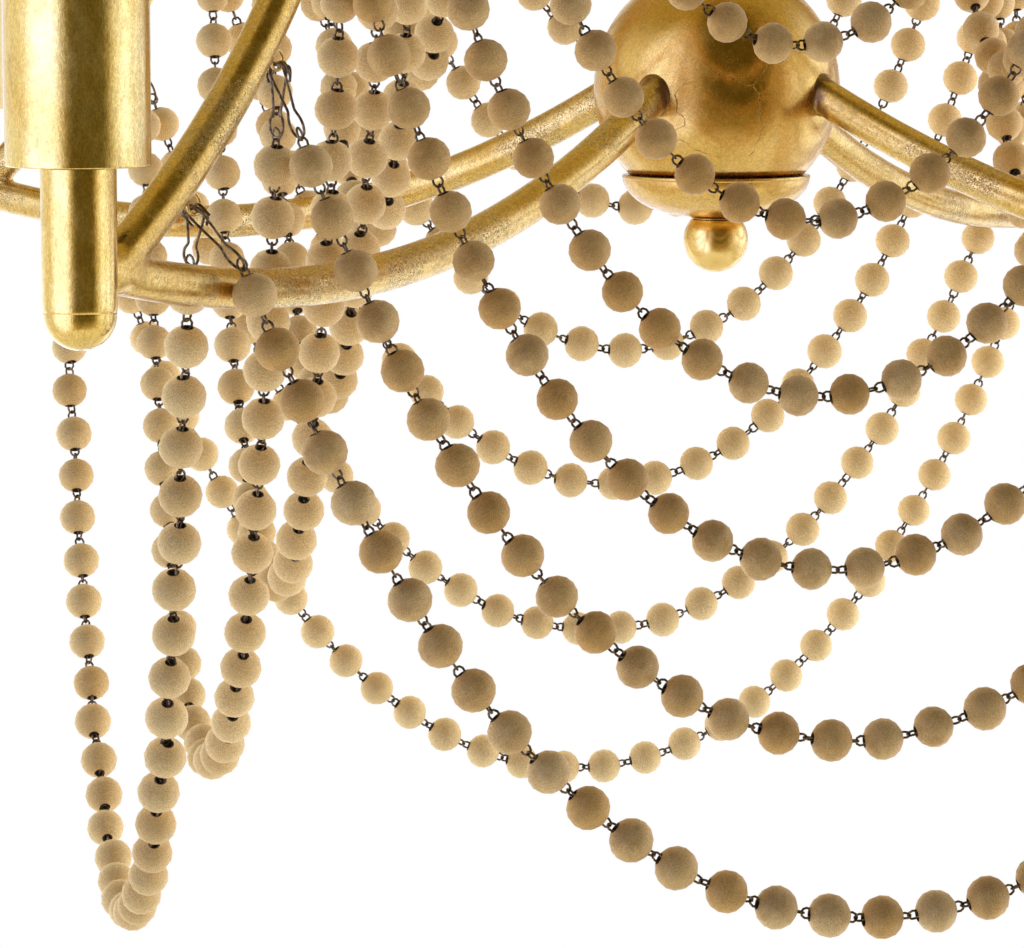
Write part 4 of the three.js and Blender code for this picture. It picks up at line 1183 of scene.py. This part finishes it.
# Two soft lamps beside the lamp and one above and behind it
def makeLights():
    v = studioValues
    middle = hubMiddle + [0, 0, v["lightsMiddle"]]
    backwards = unit(towardsCamera * [-1, -1, 0])
    spots = []
    for aside, power in v["sideLights"]:
        spots.append((middle + toTheRight * aside + backwards * v["sideBack"], power, *v["sideSize"]))
    back, above = v["topPlace"]
    spots.append((middle + backwards * back + np.array([0, 0, above]), v["topLight"], v["topSize"], v["topSize"]))
    for index, (spot, power, wide, tall) in enumerate(spots):
        light = bpy.data.lights.new("light_" + str(index), "AREA")
        light.shape = "RECTANGLE"
        light.size, light.size_y, light.energy = wide, tall, power
        light.color = v["lightColour"]
        lamp = newObject("light_" + str(index), light)
        lamp.location = Vector(spot)
        lamp.rotation_mode = "QUATERNION"
        isLevel = index < 2
        lamp.rotation_quaternion = Vector((middle - spot) * [1, 1, 0 if isLevel else 1]).to_track_quat("-Z", "Y")
        lamp.visible_glossy = False


# The floor: a pale disc that fades to the white of the background at its rim
def makeFloor():
    v = studioValues
    profile = [[r, 0] for r in np.linspace(0, 1, 9)[1:] * v["floorRadius"] / mm]
    points, _ = turnedSurface(profile, 96, (0, 0, v["floorHeight"]))
    points = np.concatenate([[[0, 0, v["floorHeight"]]], points])
    faces = [fanFaces(0, 1, 96), gridFaces(8, 96, wrapRows=False) + 1]
    bench = NodeBench("floor_pale")
    distance = bench.vectorMaths("LENGTH", bench.place((1, 1, 0)), output="Value")
    speckle = bench.noise(bench.place(), 3, 3)
    colour = bench.mix(bench.between(speckle, 0.3, 0.7), (0.80, 0.80, 0.79), (0.84, 0.84, 0.83))
    shader = bench.set(Base_Color=colour, Roughness=0.8, Specular_IOR_Level=0.1)
    glow = bench.node("ShaderNodeEmission", {"Color": (1, 1, 1, 1), "Strength": 1.0})
    bench.showMix(bench.between(distance, *v["floorFade"]), shader, glow)
    meshObject("floor", points, faces, bench.made)


# What the gold reflects besides the white: a brown ceiling, a dark card on the camera's side,
# and brighter ones on either side of it and low behind the lamp. Each is a patch of a ball
# whose edges thin out. Its spread is given in degrees to the right of the camera and above
# the horizontal, as clear, full, full, clear. The dark card is lighter towards its edge.
cardValues = {
    "ceiling": {"aside": (-75, -40, 40, 75), "rise": (45, 80, 150, 172), "colour": (0.52, 0.42, 0.17)},
    "dark": {"aside": (-26, -7, 44, 60), "rise": (-70, -14, 78, 108), "colour": (0.12, 0.09, 0.012)},
    "left": {"aside": (-84, -56, -34, -14), "rise": (-75, -35, 45, 75), "colour": (1.8, 2.1, 3.9)},
    "right": {"aside": (60, 80, 120, 150), "rise": (-75, -35, 45, 75), "colour": (1.65, 1.9, 2.8)},
    "behind": {"aside": (-75, -45, 45, 75), "rise": (180, 192, 222, 240), "colour": (1.4, 1.55, 1.95)},
}
darkCardEdge = (0.72, 0.55, 0.14)
cardsRadius, cardsApart = 2.6, 0.05  # metres


def makeCards():
    way = unit(towardsCamera * [1, 1, 0])
    for index, (name, v) in enumerate(cardValues.items()):
        a = np.linspace(v["aside"][0], v["aside"][3], 49)[None, :]
        r = np.linspace(v["rise"][0], v["rise"][3], 65)[:, None]
        arch = np.cos(np.radians(r))[..., None] * way + np.sin(np.radians(r))[..., None] * np.array([0, 0, 1.0])
        across = np.radians(a)[..., None]
        directions = np.cos(across) * arch + np.sin(across) * toTheRight
        points = hubMiddle + (cardsRadius - cardsApart * index) * directions
        fades = [np.interp(x, v[key], [1, 0, 0, 1]) for x, key in ((a, "aside"), (r, "rise"))]
        edge = 1 - (1 - fades[0]) * (1 - fades[1])
        bench = NodeBench("card_" + name)
        share = bench.attribute("edge")
        colour = bench.mix(share, v["colour"], darkCardEdge if name == "dark" else v["colour"])
        if name == "dark":
            share = bench.maths("POWER", share, 2.4)
        else:
            share = bench.between(share, 0.0, 1.0)
        shown = bench.node("ShaderNodeEmission", links={"Color": colour})
        bench.showMix(share, shown, bench.node("ShaderNodeBsdfTransparent"))
        faces = [gridFaces(65, 49, False, False)]
        card = meshObject("card_" + name, points, faces, bench.made, {"edge": edge.ravel()})
        card.visible_camera = card.visible_diffuse = card.visible_shadow = card.visible_transmission = False


makeWorld()
makeLights()
makeFloor()
makeCards()
print("studio lit")
